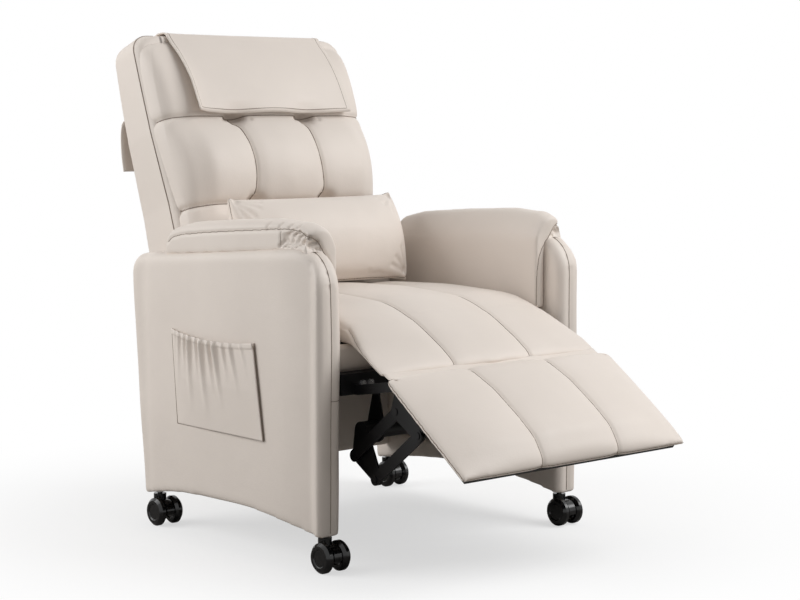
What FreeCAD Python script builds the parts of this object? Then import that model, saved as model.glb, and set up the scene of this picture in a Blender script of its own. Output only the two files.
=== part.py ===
"""Massage recliner on casters: two upholstered arms, a seat, a reclining tufted back and a
folding footrest on a parallelogram linkage.

The chair faces -Y and stands on Z = 0, with the origin midway between its four casters.
Right and left are the sitter's: the right arm, with the pocket, is at -X.
"""
import FreeCAD
import Part
import Sketcher
import math
import os
from types import SimpleNamespace

doc = FreeCAD.newDocument("massage_recliner")
sheet = doc.addObject("Spreadsheet::Sheet", "size")

# Driving lengths in millimetres and angles in degrees, grouped by the piece that they belong to.
sizes = {
    # arms
    "arm_centre": 303, "arm_thickness": 60, "arm_edge_radius": 28,
    "arm_front": 279, "arm_rear_foot": 275, "arm_rear_lean": 26, "arm_foot": 63, "arm_arch": 27,
    "arm_front_height": 578, "arm_top_fall": 43, "arm_front_corner": 75, "arm_rear_corner": 38,
    "arm_padding": 15, "arm_frame_inset": 4, "arm_frame_top": 25, "arm_rail": 95,
    "arm_foot_rail": 78, "window_front": 215, "window_rear": 215, "window_sill": 125,
    "window_head": 330, "dust_cloth": 2,
    # arm pads
    "pad_inner": 250, "pad_outer": 323, "pad_front": 240, "pad_rear": 198, "pad_rise": 55,
    "pad_foot": 430, "pad_lip_drop": 14, "pad_tuck": 40, "pad_crown": 6, "pad_gap": 0.3,
    # side pocket on the right arm
    "pocket_front": 118, "pocket_rear": 152, "pocket_foot": 220, "pocket_mouth": 398,
    "pocket_bulge": 15, "pocket_cloth": 2.5, "pocket_narrowing": 14,
    # seat
    "seat_rear": 172, "seat_front": 390, "seat_rear_half": 247, "seat_front_half": 279,
    "seat_top": 470, "seat_front_top": 361, "seat_foot": 400, "seat_front_foot": 349.5,
    "seat_crown": 8, "seat_edge_drop": 15, "seat_seam": 95, "seat_front_lean": 4,
    "seat_frame_half": 238, "seat_frame_front": 244, "seat_frame_rail": 34,
    "strap_width": 50, "strap_thickness": 2, "strap_gap": 0.6,
    "front_panel_thickness": 20, "front_panel_head": 384,
    # steel frame under the seat
    "plate_thickness": 4, "side_plate_front": 278, "side_plate_rear": 205,
    "crossbar_depth": 30, "crossbar_foot": 313, "crossbar_height": 38, "crossbar_wall": 2,
    "rear_crossbar": 130, "bolt_radius": 6, "bolt_head": 5, "bolt_inset": 44, "bolt_spacing": 18,
    # footrest linkage: hinge, the run of its parallel links, and the two link pivots of the bracket
    "fold_y": -395, "fold_z": 340, "link_run_y": 120, "link_run_z": -95,
    "rear_pivot_y": 13, "rear_pivot_z": -46, "front_pivot_y": -45, "front_pivot_z": -81,
    "link_half_width": 11, "pin_radius": 4.5, "pin_play": 0.05, "hinge_boss": 9,
    "hinge_plate_inner": 240, "bracket_inner": 234, "link_inner": 228, "crank_inner": 222,
    "pin_head_radius": 7, "pin_head": 1.2, "pin_head_gap": 0.3,
    "drive_tube_radius": 17, "drive_tube_wall": 2,
    "hanger_inner": 188, "hanger_boss": 24, "bracket_flange_rear": 34, "bracket_flange_front": 112,
    "bracket_flange_width": 22, "bracket_flange_thickness": 3,
    # footrest, measured along its slope and square to it from the fold hinge
    "footrest_slope": 36.5, "footrest_rear": -8, "footrest_front": 246, "footrest_half": 281,
    "footrest_foot": 10, "footrest_edge": 21, "footrest_crest": 51, "footrest_crown": 5,
    "footrest_rear_lean": 10,
    "board_rear": 24, "board_front": 236, "board_half": 262, "board_thickness": 10,
    # back, measured along its lean and square to it from the recline hinge
    "recline_y": 245, "recline_z": 380, "back_lean": 19.3, "back_half": 253, "back_seam": 50,
    "back_layer": 15, "back_foot": 14, "back_top": 603, "back_low_seam": 217, "back_high_seam": 403,
    "back_crest": 92, "head_crest": 72, "low_crest": 66, "back_valley": 58, "tuft_spacing": 100,
    "back_rear_foot": 86, "back_rear_top": 42, "back_panel_foot": -30, "back_edge_radius": 20,
    "back_stile": 40, "back_frame_half": 247.5, "back_rail": 50, "bracket_top": 150,
    "hinge_pin_radius": 6, "hinge_boss_radius": 13.5, "hinge_plate_radius": 30,
    "button_radius": 13, "button_height": 9, "motor_radius": 24, "motor_height": 14,
    "head_cover_half": 190, "head_cover_thickness": 5, "head_cover_drop": 186,
    "head_cover_front": 77, "head_cover_tail": 90, "rear_flap_head": 458, "rear_flap_foot": 361,
    "rear_flap_reach": 24, "rear_flap_thickness": 5, "rear_flap_half": 245,
    # lumbar pillow
    "pillow_half": 205, "pillow_height": 186, "pillow_thickness": 108, "pillow_y": 116.2,
    "pillow_z": 563, "pillow_lean": 18.6, "pillow_edge": 14, "pillow_pull": 7,
    # rear skirt and control box
    "skirt_rear": 238, "skirt_thickness": 14, "skirt_foot": 96, "skirt_head": 312,
    "box_half": 55, "box_depth": 60, "box_height": 36, "inlet_radius": 2.75, "inlet_depth": 9,
    "inlet_collar_radius": 5, "inlet_collar_height": 3,
    # casters
    "caster_x": 298, "caster_y": 261, "caster_lead": 16, "wheel_radius": 27.5, "wheel_width": 17,
    "wheel_gap": 21, "wheel_round": 5, "hub_radius": 15, "hub_recess": 2, "axle_radius": 3, "hood_radius": 22,
    "hood_width": 17, "hood_play": 2, "neck_radius": 12.5, "neck_head": 60.5, "stem_radius": 5,
    "stem_length": 34, "socket_radius": 7, "socket_length": 40, "socket_play": 0.05,
    # how far the cutting tools reach past what they cut
    "overrun": 5,
}
for row, (alias, value) in enumerate(sizes.items(), start=1):
    sheet.set(f"A{row}", alias)
    sheet.set(f"B{row}", str(value))
    sheet.setAlias(f"B{row}", alias)
doc.recompute()
dim = SimpleNamespace(**{alias: float(sheet.get(alias)) for alias in sizes})

sides = (("right", -1), ("left", 1))
nodes = []


def named(item, label):
    """Gives a finished sub-part its name and puts it on the list of pieces to write."""
    item.Label = label
    nodes.append(item)
    return item


def value(text):
    """The number that a sum of sheet values comes to, worked out in the sheet's own spare cell."""
    sheet.set("D1", "=" + text.replace("size.", ""))
    sheet.recompute()
    return float(sheet.get("D1"))


def bind(item, **texts):
    for name, text in texts.items():
        item.setExpression(name.replace("__", "."), text)
    return item


def place(item, x, y, z):
    return bind(item, Placement__Base__x=x, Placement__Base__y=y, Placement__Base__z=z)


def block(name, extents, corner):
    """A box from its three lengths and its lowest corner."""
    item = doc.addObject("Part::Box", name)
    bind(item, Length=extents[0], Width=extents[1], Height=extents[2])
    return place(item, *corner)


def bar(name, radius, length, start, along="z"):
    """A cylinder from its start point, along X, Y or Z."""
    item = doc.addObject("Part::Cylinder", name)
    axis = {"x": FreeCAD.Vector(0, 1, 0), "y": FreeCAD.Vector(-1, 0, 0), "z": FreeCAD.Vector(0, 0, 1)}
    turn = {"x": 90, "y": 90, "z": 0}
    item.Placement.Rotation = FreeCAD.Rotation(axis[along], turn[along])
    bind(item, Radius=radius, Height=length)
    return place(item, *start)


def cut(name, base, tool):
    item = doc.addObject("Part::Cut", name)
    item.Base = base
    item.Tool = tool
    return item


def fuse(name, pieces):
    item = doc.addObject("Part::MultiFuse", name)
    item.Shapes = pieces
    return item


def group(name, pieces):
    """Separate solids of one kind that share a node."""
    item = doc.addObject("Part::Compound", name)
    item.Links = pieces
    return item


def form(name, shape):
    """A shape made with Part's own functions, for upholstery that no primitive or pad gives."""
    item = doc.addObject("Part::Feature", name)
    item.Shape = shape
    return item


def side_sketch(body, name):
    """A sketch on the body's YZ plane: its axes are the chair's Y and Z."""
    plane = next(item for item in body.Origin.OriginFeatures if item.Role == "YZ_Plane")
    sketch = body.newObject("Sketcher::SketchObject", name)
    sketch.AttachmentSupport = [(plane, "")]
    sketch.MapMode = "FlatFace"
    return sketch


def fix_point(sketch, geometry, point, texts):
    """Ties one point of a sketch to its two places in the sheet."""
    for kind, text in zip(("DistanceX", "DistanceY"), texts):
        index = sketch.addConstraint(Sketcher.Constraint(kind, -1, 1, geometry, point, value(text)))
        sketch.setExpression(f"Constraints[{index}]", text)


def fix_radius(sketch, geometry, text):
    index = sketch.addConstraint(Sketcher.Constraint("Radius", geometry, value(text)))
    sketch.setExpression(f"Constraints[{index}]", text)


def pad_body(body, sketch, thickness, x):
    pad = body.newObject("PartDesign::Pad", sketch.Name + "_pad")
    pad.Profile = sketch
    bind(pad, Length=thickness)
    sketch.Visibility = False
    return bind(body, Placement__Base__x=x)


def pivot_plate(name, pivots, radii, holes, thickness, x):
    """A flat plate whose outline wraps bosses round its pivots, given in order round the plate."""
    body = doc.addObject("PartDesign::Body", name)
    sketch = side_sketch(body, name + "_outline")
    centres = [FreeCAD.Vector(value(y), value(z), 0) for y, z in pivots]
    reach = [value(text) for text in radii]
    count = len(centres)
    normals = []
    for index in range(count):
        following = (index + 1) % count
        run = centres[following] - centres[index]
        tilt = math.asin((reach[index] - reach[following]) / run.Length)
        normals.append(math.atan2(run.y, run.x) - math.pi / 2 + tilt)
    arcs = []
    for index in range(count):
        start = normals[index - 1]
        end = normals[index]
        circle = Part.Circle(centres[index], FreeCAD.Vector(0, 0, 1), reach[index])
        sweep = (end - start) % (2 * math.pi)
        arcs.append(sketch.addGeometry(Part.ArcOfCircle(circle, start, start + sweep)))
    lines = []
    for index in range(count):
        following = (index + 1) % count
        outward = FreeCAD.Vector(math.cos(normals[index]), math.sin(normals[index]), 0)
        begin = centres[index] + outward * reach[index]
        finish = centres[following] + outward * reach[following]
        lines.append(sketch.addGeometry(Part.LineSegment(begin, finish)))
    for index in range(count):
        following = (index + 1) % count
        sketch.addConstraint(Sketcher.Constraint("Tangent", arcs[index], 2, lines[index], 1))
        sketch.addConstraint(Sketcher.Constraint("Tangent", lines[index], 2, arcs[following], 1))
    for arc, pivot, text in zip(arcs, pivots, radii):
        fix_point(sketch, arc, 3, pivot)
        fix_radius(sketch, arc, text)
    for arc, centre, text in zip(arcs, centres, holes):
        if text:
            circle = Part.Circle(centre, FreeCAD.Vector(0, 0, 1), value(text))
            hole = sketch.addGeometry(circle)
            sketch.addConstraint(Sketcher.Constraint("Coincident", hole, 3, arc, 3))
            fix_radius(sketch, hole, text)
    return pad_body(body, sketch, thickness, x)


def corner_plate(name, corners, thickness, x):
    """A flat plate with straight sides between its corners."""
    body = doc.addObject("PartDesign::Body", name)
    sketch = side_sketch(body, name + "_outline")
    points = [FreeCAD.Vector(value(y), value(z), 0) for y, z in corners]
    lines = [sketch.addGeometry(Part.LineSegment(points[index - 1], points[index]))
             for index in range(len(points))]
    for index, corner in enumerate(corners):
        following = lines[(index + 1) % len(lines)]
        sketch.addConstraint(Sketcher.Constraint("Coincident", lines[index], 2, following, 1))
        fix_point(sketch, lines[index], 2, corner)
    return pad_body(body, sketch, thickness, x)


def outline(points, sags, to_space):
    """A closed wire through points, each side bowed outwards by its sag where it has one."""
    edges = []
    for index, (start, sag) in enumerate(zip(points, sags)):
        end = points[(index + 1) % len(points)]
        run = FreeCAD.Vector(end[0] - start[0], end[1] - start[1], 0)
        first = to_space(*start)
        last = to_space(*end)
        if sag:
            across = sag / run.Length
            middle = to_space((start[0] + end[0]) / 2 + run.y * across,
                              (start[1] + end[1]) / 2 - run.x * across)
            edges.append(Part.Arc(first, middle, last).toShape())
        else:
            edges.append(Part.LineSegment(first, last).toShape())
    return Part.Wire(edges)


def loft(wires):
    """A solid with straight runs between its sections, so that nothing swells past them."""
    return Part.makeLoft(wires, True, True)


def slab(points, sags, half):
    """A solid of one side outline, reaching equally to both sides of the middle plane."""
    wire = outline(points, sags, lambda y, z: FreeCAD.Vector(-half, y, z))
    return Part.Face(wire).extrude(FreeCAD.Vector(2 * half, 0, 0))


def moved(shape, x, y, z):
    shape = shape.copy()
    shape.translate(FreeCAD.Vector(x, y, z))
    return shape


# Arms: a plywood frame wrapped in foam and leather, rounded along its front, top and rear edges.
def arm_top(y):
    """Height of the top line of an arm, which falls towards the rear."""
    depth = dim.arm_front + dim.arm_rear_foot + dim.arm_rear_lean
    return dim.arm_front_height - dim.arm_top_fall * (y + dim.arm_front) / depth


def arm_form(grow):
    """The whole arm as one solid about X = 0, larger all round by grow."""
    half = dim.arm_thickness / 2 + grow
    rear_top = dim.arm_rear_foot + dim.arm_rear_lean
    front = -dim.arm_front
    corners = [(front - grow, dim.arm_foot), (dim.arm_rear_foot + grow, dim.arm_foot),
               (rear_top + grow, arm_top(rear_top) + grow), (front - grow, arm_top(front) + grow)]
    shape = slab(corners, (-dim.arm_arch, 0, 0, 0), half)
    for corner, radius in ((corners[3], dim.arm_front_corner), (corners[2], dim.arm_rear_corner)):
        edges = [edge for edge in shape.Edges
                 if edge.CenterOfMass.distanceToPoint(FreeCAD.Vector(0, *corner)) < dim.overrun]
        shape = shape.makeFillet(radius, edges)
    chain = [edge for edge in shape.Edges
             if abs(abs(edge.CenterOfMass.x) - half) < dim.pad_gap
             and edge.BoundBox.XLength < dim.pad_gap
             and edge.BoundBox.ZMax > dim.arm_foot + dim.arm_arch + dim.overrun]
    return shape.makeFillet(dim.arm_edge_radius, chain)


def arm_frame_form():
    """The plywood frame that fills an arm between its padding, with one large opening."""
    half = dim.arm_thickness / 2 - dim.arm_padding
    front = -dim.arm_front + dim.arm_frame_inset
    rear = dim.arm_rear_foot - dim.arm_frame_inset
    rear_head = rear + dim.arm_rear_lean
    head = arm_top(rear_head) - dim.arm_frame_top
    front_head = arm_top(front) - dim.arm_frame_top
    solid = slab([(front, dim.arm_foot), (rear, dim.arm_foot), (rear_head, head - dim.arm_rear_corner),
                  (rear_head - dim.arm_rear_corner, head), (front + dim.arm_front_corner, front_head),
                  (front, front_head - dim.arm_front_corner)], (0, 0, 0, 0, 0, 0), half)
    arch = slab([(-dim.arm_front, dim.arm_foot), (dim.arm_rear_foot, dim.arm_foot)],
                (-dim.arm_arch, 0), half + dim.overrun)
    hole_foot = dim.arm_foot + dim.arm_foot_rail
    opening = slab([(front + dim.arm_rail, hole_foot), (rear - dim.arm_rail, hole_foot),
                    (rear_head - dim.arm_rail, head - dim.arm_rail),
                    (front + dim.arm_rail, head - dim.arm_rail)], (0, 0, 0, 0), half + dim.overrun)
    return solid.cut(arch), opening


frame_solid, frame_opening = arm_frame_form()
window = slab([(-dim.window_front, dim.window_sill), (dim.window_rear, dim.window_sill),
               (dim.window_rear, dim.window_head), (-dim.window_front, dim.window_head)],
              (0, 0, 0, 0), dim.arm_padding / 2)
arm_half = dim.arm_thickness / 2
whole_arm = arm_form(0)
for side, sign in sides:
    inner = -sign * (arm_half - dim.arm_padding / 2)
    shell = whole_arm.cut(frame_solid).cut(moved(window, inner, 0, 0))
    stem_x = sign * (dim.caster_x - dim.arm_centre)
    pockets = [Part.makeCylinder(dim.socket_radius, dim.socket_length + dim.overrun,
                                 FreeCAD.Vector(stem_x, way * dim.caster_y, dim.arm_foot - dim.overrun))
               for way in (-1, 1)]
    shell = shell.cut(Part.makeCompound(pockets))
    named(form(f"arm_shell_{side}", moved(shell, sign * dim.arm_centre, 0, 0)), f"arm_shell_{side}")
    frame = frame_solid.cut(frame_opening).cut(Part.makeCompound(pockets))
    named(form(f"arm_frame_{side}", moved(frame, sign * dim.arm_centre, 0, 0)), f"arm_frame_{side}")
    frame_face = "size.arm_centre - size.arm_thickness / 2 + size.arm_padding"
    cloth_face = f"{sign} * ({frame_face} - size.dust_cloth)"
    named(block(f"arm_dust_cloth_{side}",
                ("size.dust_cloth", "size.window_front + size.window_rear",
                 "size.window_head - size.window_sill"),
                (cloth_face if sign > 0 else f"{cloth_face} - size.dust_cloth",
                 "-size.window_front", "size.window_sill")), f"arm_dust_cloth_{side}")


# Arm pads: a boxed cushion that lies down the inside of the arm and rolls over its top.
pad_place_shares = (0, 0.03, 0.16, 0.45, 0.78, 0.944, 1)
pad_rise_shares = (0.6, 0.85, 0.99, 1.0, 0.945, 0.755, 0.45)
pad_lip_shares = (0.24, 0.49, 0.63, 0.64, 0.58, 0.39, 0.1)
whole_arm_with_gap = arm_form(dim.pad_gap)


def arm_pad_form(sign):
    wires = []
    for along, rise, lip in zip(pad_place_shares, pad_rise_shares, pad_lip_shares):
        y = dim.pad_rear - along * (dim.pad_rear + dim.pad_front)
        base = arm_top(y)
        top = base + rise * dim.pad_rise
        shoulder = dim.pad_outer - dim.pad_inner
        in_arm = dim.arm_centre - arm_half + dim.pad_lip_drop
        points = [(dim.pad_inner, dim.pad_foot), (in_arm, dim.pad_foot), (in_arm, base - dim.pad_tuck),
                  (dim.pad_outer, base - dim.pad_lip_drop), (dim.pad_outer, base + lip * dim.pad_rise),
                  (dim.pad_outer - shoulder * pad_top_outer_share, top),
                  (dim.pad_inner + shoulder * pad_top_inner_share, top - dim.pad_crown * rise),
                  (dim.pad_inner, base - dim.pad_lip_drop * rise)]
        crown = dim.pad_crown * rise
        sags = (0, 0, 0, 0, crown, crown, crown, 0)
        wires.append(outline(points, sags, lambda x, z, y=y: FreeCAD.Vector(sign * x, y, z)))
    return loft(wires).cut(moved(whole_arm_with_gap, sign * dim.arm_centre, 0, 0))


pad_top_outer_share = 0.27
pad_top_inner_share = 0.3
for side, sign in sides:
    pad_solids = sorted(arm_pad_form(sign).Solids, key=lambda solid: solid.Volume)
    named(form(f"arm_pad_{side}", pad_solids[-1]), f"arm_pad_{side}")


# Side pocket: a leather pouch sewn to the outside of the right arm on three edges, open at the top.
def pocket_form(inset):
    """The pouch as a solid bulging from the arm, drawn in on all sides by inset."""
    face = -dim.arm_centre - arm_half
    foot = dim.pocket_foot + inset
    wires = []
    for share, bulge_share in pocket_height_shares:
        z = foot + share * (dim.pocket_mouth - foot) + (dim.overrun if share == 1 and inset else 0)
        narrow = dim.pocket_narrowing * (1 - share)
        front = -dim.pocket_front - narrow + inset
        rear = dim.pocket_rear - narrow - inset
        depth = dim.pocket_bulge * bulge_share - inset
        points = [(front, 0), (rear, 0)]
        sags = (0, depth)
        wires.append(outline(points, sags, lambda y, x, z=z: FreeCAD.Vector(face - x, y, z)))
    return loft(wires)


pocket_height_shares = ((0, 0.35), (0.25, 0.75), (0.6, 0.95), (1, 1.0))
pocket = pocket_form(0).cut(pocket_form(dim.pocket_cloth))
named(form("side_pocket", pocket), "side_pocket")

# Seat: a boxed cushion of three sewn panels on elastic straps and a wooden frame, flaring to the
# width of the footrest in front of the arms.
seat_place_shares = (0, 0.15, 0.41, 0.64, 0.765, 0.875, 0.952, 1)
seat_fall_shares = (0.15, 0.037, 0, 0.064, 0.22, 0.55, 0.78, 1)
seat_flare_shares = (0, 0, 0, 0, 0.02, 0.77, 0.95, 1)
seat_foot_shares = (0, 0, 0, 0, 0, 0.275, 0.706, 1)
seat_drop_shares = (1, 0.93, 0.8, 0.53, 0.4, 0.8, 0.6, 0.2)


def seat_form():
    wires = []
    stations = zip(seat_place_shares, seat_fall_shares, seat_flare_shares, seat_foot_shares,
                   seat_drop_shares)
    for along, fall, flare, sink, drop in stations:
        y = dim.seat_rear - along * (dim.seat_rear + dim.seat_front)
        half = dim.seat_rear_half + flare * (dim.seat_front_half - dim.seat_rear_half)
        top = dim.seat_top - fall * (dim.seat_top - dim.seat_front_top)
        foot = dim.seat_foot - sink * (dim.seat_foot - dim.seat_front_foot)
        edge = top - drop * dim.seat_edge_drop
        lean = dim.seat_front_lean / (top - foot) if along == 1 else 0
        crown = dim.seat_crown * (1 - seat_crown_loss_share * fall)
        points = [(-half, foot), (half, foot), (half, edge), (dim.seat_seam, top),
                  (-dim.seat_seam, top), (-half, edge)]
        sags = (0, 0, crown, crown, crown, 0)
        wires.append(outline(points, sags, lambda x, z, y=y, top=top, lean=lean:
                             FreeCAD.Vector(x, y + lean * (top - z), z)))
    return loft(wires)


seat_crown_loss_share = 0.6


named(form("seat_cushion", seat_form()), "seat_cushion")

crossbar_head = "(size.crossbar_foot + size.crossbar_height)"
frame_height = f"size.seat_foot - size.strap_gap - size.strap_thickness - {crossbar_head}"
frame_depth = "(size.seat_frame_front + size.seat_rear)"
seat_ring = block("seat_frame_outside", ("2 * size.seat_frame_half", frame_depth, frame_height),
                  ("-size.seat_frame_half", "-size.seat_frame_front", crossbar_head))
seat_hole = block("seat_frame_opening",
                  ("2 * (size.seat_frame_half - size.seat_frame_rail)",
                   f"{frame_depth} - 2 * size.seat_frame_rail", f"{frame_height} + 2 * size.overrun"),
                  ("-size.seat_frame_half + size.seat_frame_rail",
                   "-size.seat_frame_front + size.seat_frame_rail", f"{crossbar_head} - size.overrun"))
named(cut("seat_frame", seat_ring, seat_hole), "seat_frame")

strap_count = 5
straps = []
for index in range(strap_count):
    step = f"{index / (strap_count - 1)} * ({frame_depth} - size.strap_width)"
    straps.append(block(f"strap_{index}",
                        ("2 * size.seat_frame_half", "size.strap_width", "size.strap_thickness"),
                        ("-size.seat_frame_half", f"-size.seat_frame_front + {step}",
                         "size.seat_foot - size.strap_gap - size.strap_thickness")))
named(group("seat_straps", straps), "seat_straps")
named(block("seat_front_panel", ("2 * size.seat_frame_half", "size.front_panel_thickness",
                                 f"size.front_panel_head - {crossbar_head}"),
            ("-size.seat_frame_half", "-size.seat_frame_front - size.front_panel_thickness", crossbar_head)),
      "seat_front_panel")

# Steel frame: a side plate on each arm, joined by two square crossbars.
plate_face = "(size.arm_centre - size.arm_thickness / 2)"


def side_start(sign, inner, thickness):
    """Lowest X of a plate that reaches from inner outwards, on either side of the chair."""
    return inner if sign > 0 else f"-({inner}) - {thickness}"


for side, sign in sides:
    crossbar_top = crossbar_head
    low_edge = "size.crossbar_foot"
    corners = [("-size.side_plate_front", low_edge), ("size.side_plate_rear", low_edge),
               ("size.side_plate_rear", crossbar_top), ("-size.side_plate_front", crossbar_top)]
    plate = corner_plate(f"side_plate_{side}", corners, "size.plate_thickness",
                         side_start(sign, f"{plate_face} - size.plate_thickness", "size.plate_thickness"))
    named(plate, f"side_plate_{side}")

bar_half = f"({plate_face} - size.plate_thickness)"


def crossbar(name, rear_face):
    face = f"{rear_face} - size.crossbar_depth"
    outside = block(f"{name}_outside",
                    (f"2 * {bar_half}", "size.crossbar_depth", "size.crossbar_height"),
                    (f"-{bar_half}", face, "size.crossbar_foot"))
    inside = block(f"{name}_inside",
                   (f"2 * ({bar_half} + size.overrun)", "size.crossbar_depth - 2 * size.crossbar_wall",
                    "size.crossbar_height - 2 * size.crossbar_wall"),
                   (f"-({bar_half} + size.overrun)", f"{face} + size.crossbar_wall",
                    "size.crossbar_foot + size.crossbar_wall"))
    return named(cut(name, outside, inside), name)


front_bar_rear = "(-size.side_plate_front + size.crossbar_depth)"
crossbar("front_crossbar", front_bar_rear)
crossbar("rear_crossbar", "(size.rear_crossbar + size.crossbar_depth)")

bolts = []
for side, sign in sides:
    for index in range(2):
        x = f"{sign} * ({bar_half} - size.bolt_inset - {index} * size.bolt_spacing)"
        bolts.append(bar(f"crossbar_bolt_{side}_{index}", "size.bolt_radius", "size.bolt_head",
                         (x, "-size.side_plate_front", "size.crossbar_foot + size.crossbar_height / 2"), "y"))
        bolts[-1].Placement.Rotation = FreeCAD.Rotation(FreeCAD.Vector(1, 0, 0), 90)
named(group("crossbar_bolts", bolts), "crossbar_bolts")

# Footrest linkage. The fold hinge and the drive tube's axis are the fixed pivots. The footrest
# bracket and the crank are the same triangle, so the two links between them stay parallel to the
# line from the hinge to the tube, and every pin keeps its seat as the footrest folds.
hinge = ("size.fold_y", "size.fold_z")
tube_axis = ("size.fold_y + size.link_run_y", "size.fold_z + size.link_run_z")


def beside(pivot, y, z):
    return f"{pivot[0]} + {y}", f"{pivot[1]} + {z}"


bracket_rear = beside(hinge, "size.rear_pivot_y", "size.rear_pivot_z")
bracket_front = beside(hinge, "size.front_pivot_y", "size.front_pivot_z")
crank_rear = beside(tube_axis, "size.rear_pivot_y", "size.rear_pivot_z")
crank_front = beside(tube_axis, "size.front_pivot_y", "size.front_pivot_z")
pin_hole = "size.pin_radius + size.pin_play"
slope = math.radians(dim.footrest_slope)


def on_footrest(x, along, above):
    """A point from its distances along and square to the footrest's slope."""
    return FreeCAD.Vector(x, dim.fold_y - along * math.cos(slope) - above * math.sin(slope),
                          dim.fold_z - along * math.sin(slope) + above * math.cos(slope))


def footrest_block(half_from, half_to, along_from, along_to, above_from, above_to):
    """A block lying on the slope of the footrest."""
    corners = [(along_from, above_from), (along_to, above_from), (along_to, above_to),
               (along_from, above_to)]
    wire = outline(corners, (0, 0, 0, 0), lambda along, above: on_footrest(half_from, along, above))
    return Part.Face(wire).extrude(FreeCAD.Vector(half_to - half_from, 0, 0))


board_foot = dim.footrest_foot - dim.board_thickness
hinge_pins = []
bracket_pins = []
crank_pins = []
for side, sign in sides:
    start = side_start(sign, "size.hinge_plate_inner", "size.plate_thickness")
    root = ("-size.side_plate_front - size.hinge_boss", "size.crossbar_foot + size.hinge_boss")
    arm = pivot_plate(f"seat_hinge_arm_{side}", [hinge, root], ["size.hinge_boss", "size.hinge_boss"],
                      [pin_hole, None], "size.plate_thickness", start)
    weld = block(f"seat_hinge_root_{side}",
                 ("size.plate_thickness", "size.hinge_boss", "2 * size.hinge_boss"),
                 (start, root[0], "size.crossbar_foot"))
    named(fuse(f"seat_hinge_plate_{side}", [arm, weld]), f"seat_hinge_plate_{side}")

    start = side_start(sign, "size.bracket_inner", "size.plate_thickness")
    plate = pivot_plate(f"footrest_bracket_plate_{side}", [hinge, bracket_front, bracket_rear],
                        ["size.hinge_boss", "size.link_half_width", "size.link_half_width"],
                        ["size.pin_radius"] * 3, "size.plate_thickness", start)
    flange_near = dim.bracket_inner
    flange_far = dim.bracket_inner + dim.plate_thickness + dim.bracket_flange_width
    flange = footrest_block(sign * flange_near, sign * flange_far, dim.bracket_flange_rear,
                            dim.bracket_flange_front, board_foot - dim.bracket_flange_thickness, board_foot)
    web = footrest_block(sign * flange_near, sign * (flange_near + dim.plate_thickness),
                         dim.bracket_flange_rear, dim.bracket_flange_front - dim.bracket_flange_width,
                         board_foot - dim.bracket_flange_thickness - dim.bracket_flange_width, board_foot)
    pieces = [plate, form(f"footrest_flange_{side}", flange), form(f"footrest_web_{side}", web)]
    named(fuse(f"footrest_bracket_{side}", pieces), f"footrest_bracket_{side}")

    start = side_start(sign, "size.link_inner", "size.plate_thickness")
    link_ends = (("front", bracket_front, crank_front), ("rear", bracket_rear, crank_rear))
    for place_name, top, foot in link_ends:
        named(pivot_plate(f"{place_name}_link_{side}", [top, foot], ["size.link_half_width"] * 2,
                          [pin_hole] * 2, "size.plate_thickness", start), f"{place_name}_link_{side}")

    start = side_start(sign, "size.crank_inner", "size.plate_thickness")
    named(pivot_plate(f"crank_{side}", [tube_axis, crank_front, crank_rear],
                      ["size.drive_tube_radius", "size.link_half_width", "size.link_half_width"],
                      [None, "size.pin_radius", "size.pin_radius"], "size.plate_thickness", start),
          f"crank_{side}")

    def pin(name, pivot, inner, outer):
        """A rivet through two plates, headed beyond both outside faces."""
        end = "(size.pin_head + size.pin_head_gap)"
        length = f"({outer} - {inner} + 2 * {end})"
        shank = bar(f"{name}_shank", "size.pin_radius", length,
                    (side_start(sign, f"{inner} - {end}", length), *pivot), "x")
        heads = [bar(f"{name}_head_{index}", "size.pin_head_radius", "size.pin_head",
                     (side_start(sign, face, "size.pin_head"), *pivot), "x")
                 for index, face in enumerate((f"{inner} - {end}", f"{outer} + size.pin_head_gap"))]
        return fuse(name, [shank, *heads])

    hinge_pins.append(pin(f"fold_pin_{side}", hinge, "size.bracket_inner",
                          "(size.hinge_plate_inner + size.plate_thickness)"))
    for place_name, pivot in (("front", bracket_front), ("rear", bracket_rear)):
        bracket_pins.append(pin(f"{place_name}_bracket_pin_{side}", pivot, "size.link_inner",
                                "(size.bracket_inner + size.plate_thickness)"))
    for place_name, pivot in (("front", crank_front), ("rear", crank_rear)):
        crank_pins.append(pin(f"{place_name}_crank_pin_{side}", pivot, "size.crank_inner",
                              "(size.link_inner + size.plate_thickness)"))
named(group("fold_pins", hinge_pins), "fold_pins")
named(group("bracket_pins", bracket_pins), "bracket_pins")
named(group("crank_pins", crank_pins), "crank_pins")

tube_outside = bar("drive_tube_outside", "size.drive_tube_radius", "2 * size.crank_inner",
                   ("-size.crank_inner", *tube_axis), "x")
tube_inside = bar("drive_tube_inside", "size.drive_tube_radius - size.drive_tube_wall",
                  "2 * (size.crank_inner + size.overrun)",
                  ("-size.crank_inner - size.overrun", *tube_axis), "x")
named(cut("drive_tube", tube_outside, tube_inside), "drive_tube")
for side, sign in sides:
    start = side_start(sign, "size.hanger_inner", "size.plate_thickness")
    neck = (tube_axis[0], "size.crossbar_foot - size.hinge_boss")
    eye = pivot_plate(f"tube_hanger_eye_{side}", [tube_axis, neck], ["size.hanger_boss", "size.hinge_boss"],
                      ["size.drive_tube_radius + size.pin_play", None], "size.plate_thickness", start)
    weld = block(f"tube_hanger_root_{side}",
                 ("size.plate_thickness", "2 * size.hinge_boss", "size.hinge_boss"),
                 (start, f"{neck[0]} - size.hinge_boss", neck[1]))
    named(fuse(f"tube_hanger_{side}", [eye, weld]), f"tube_hanger_{side}")

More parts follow.
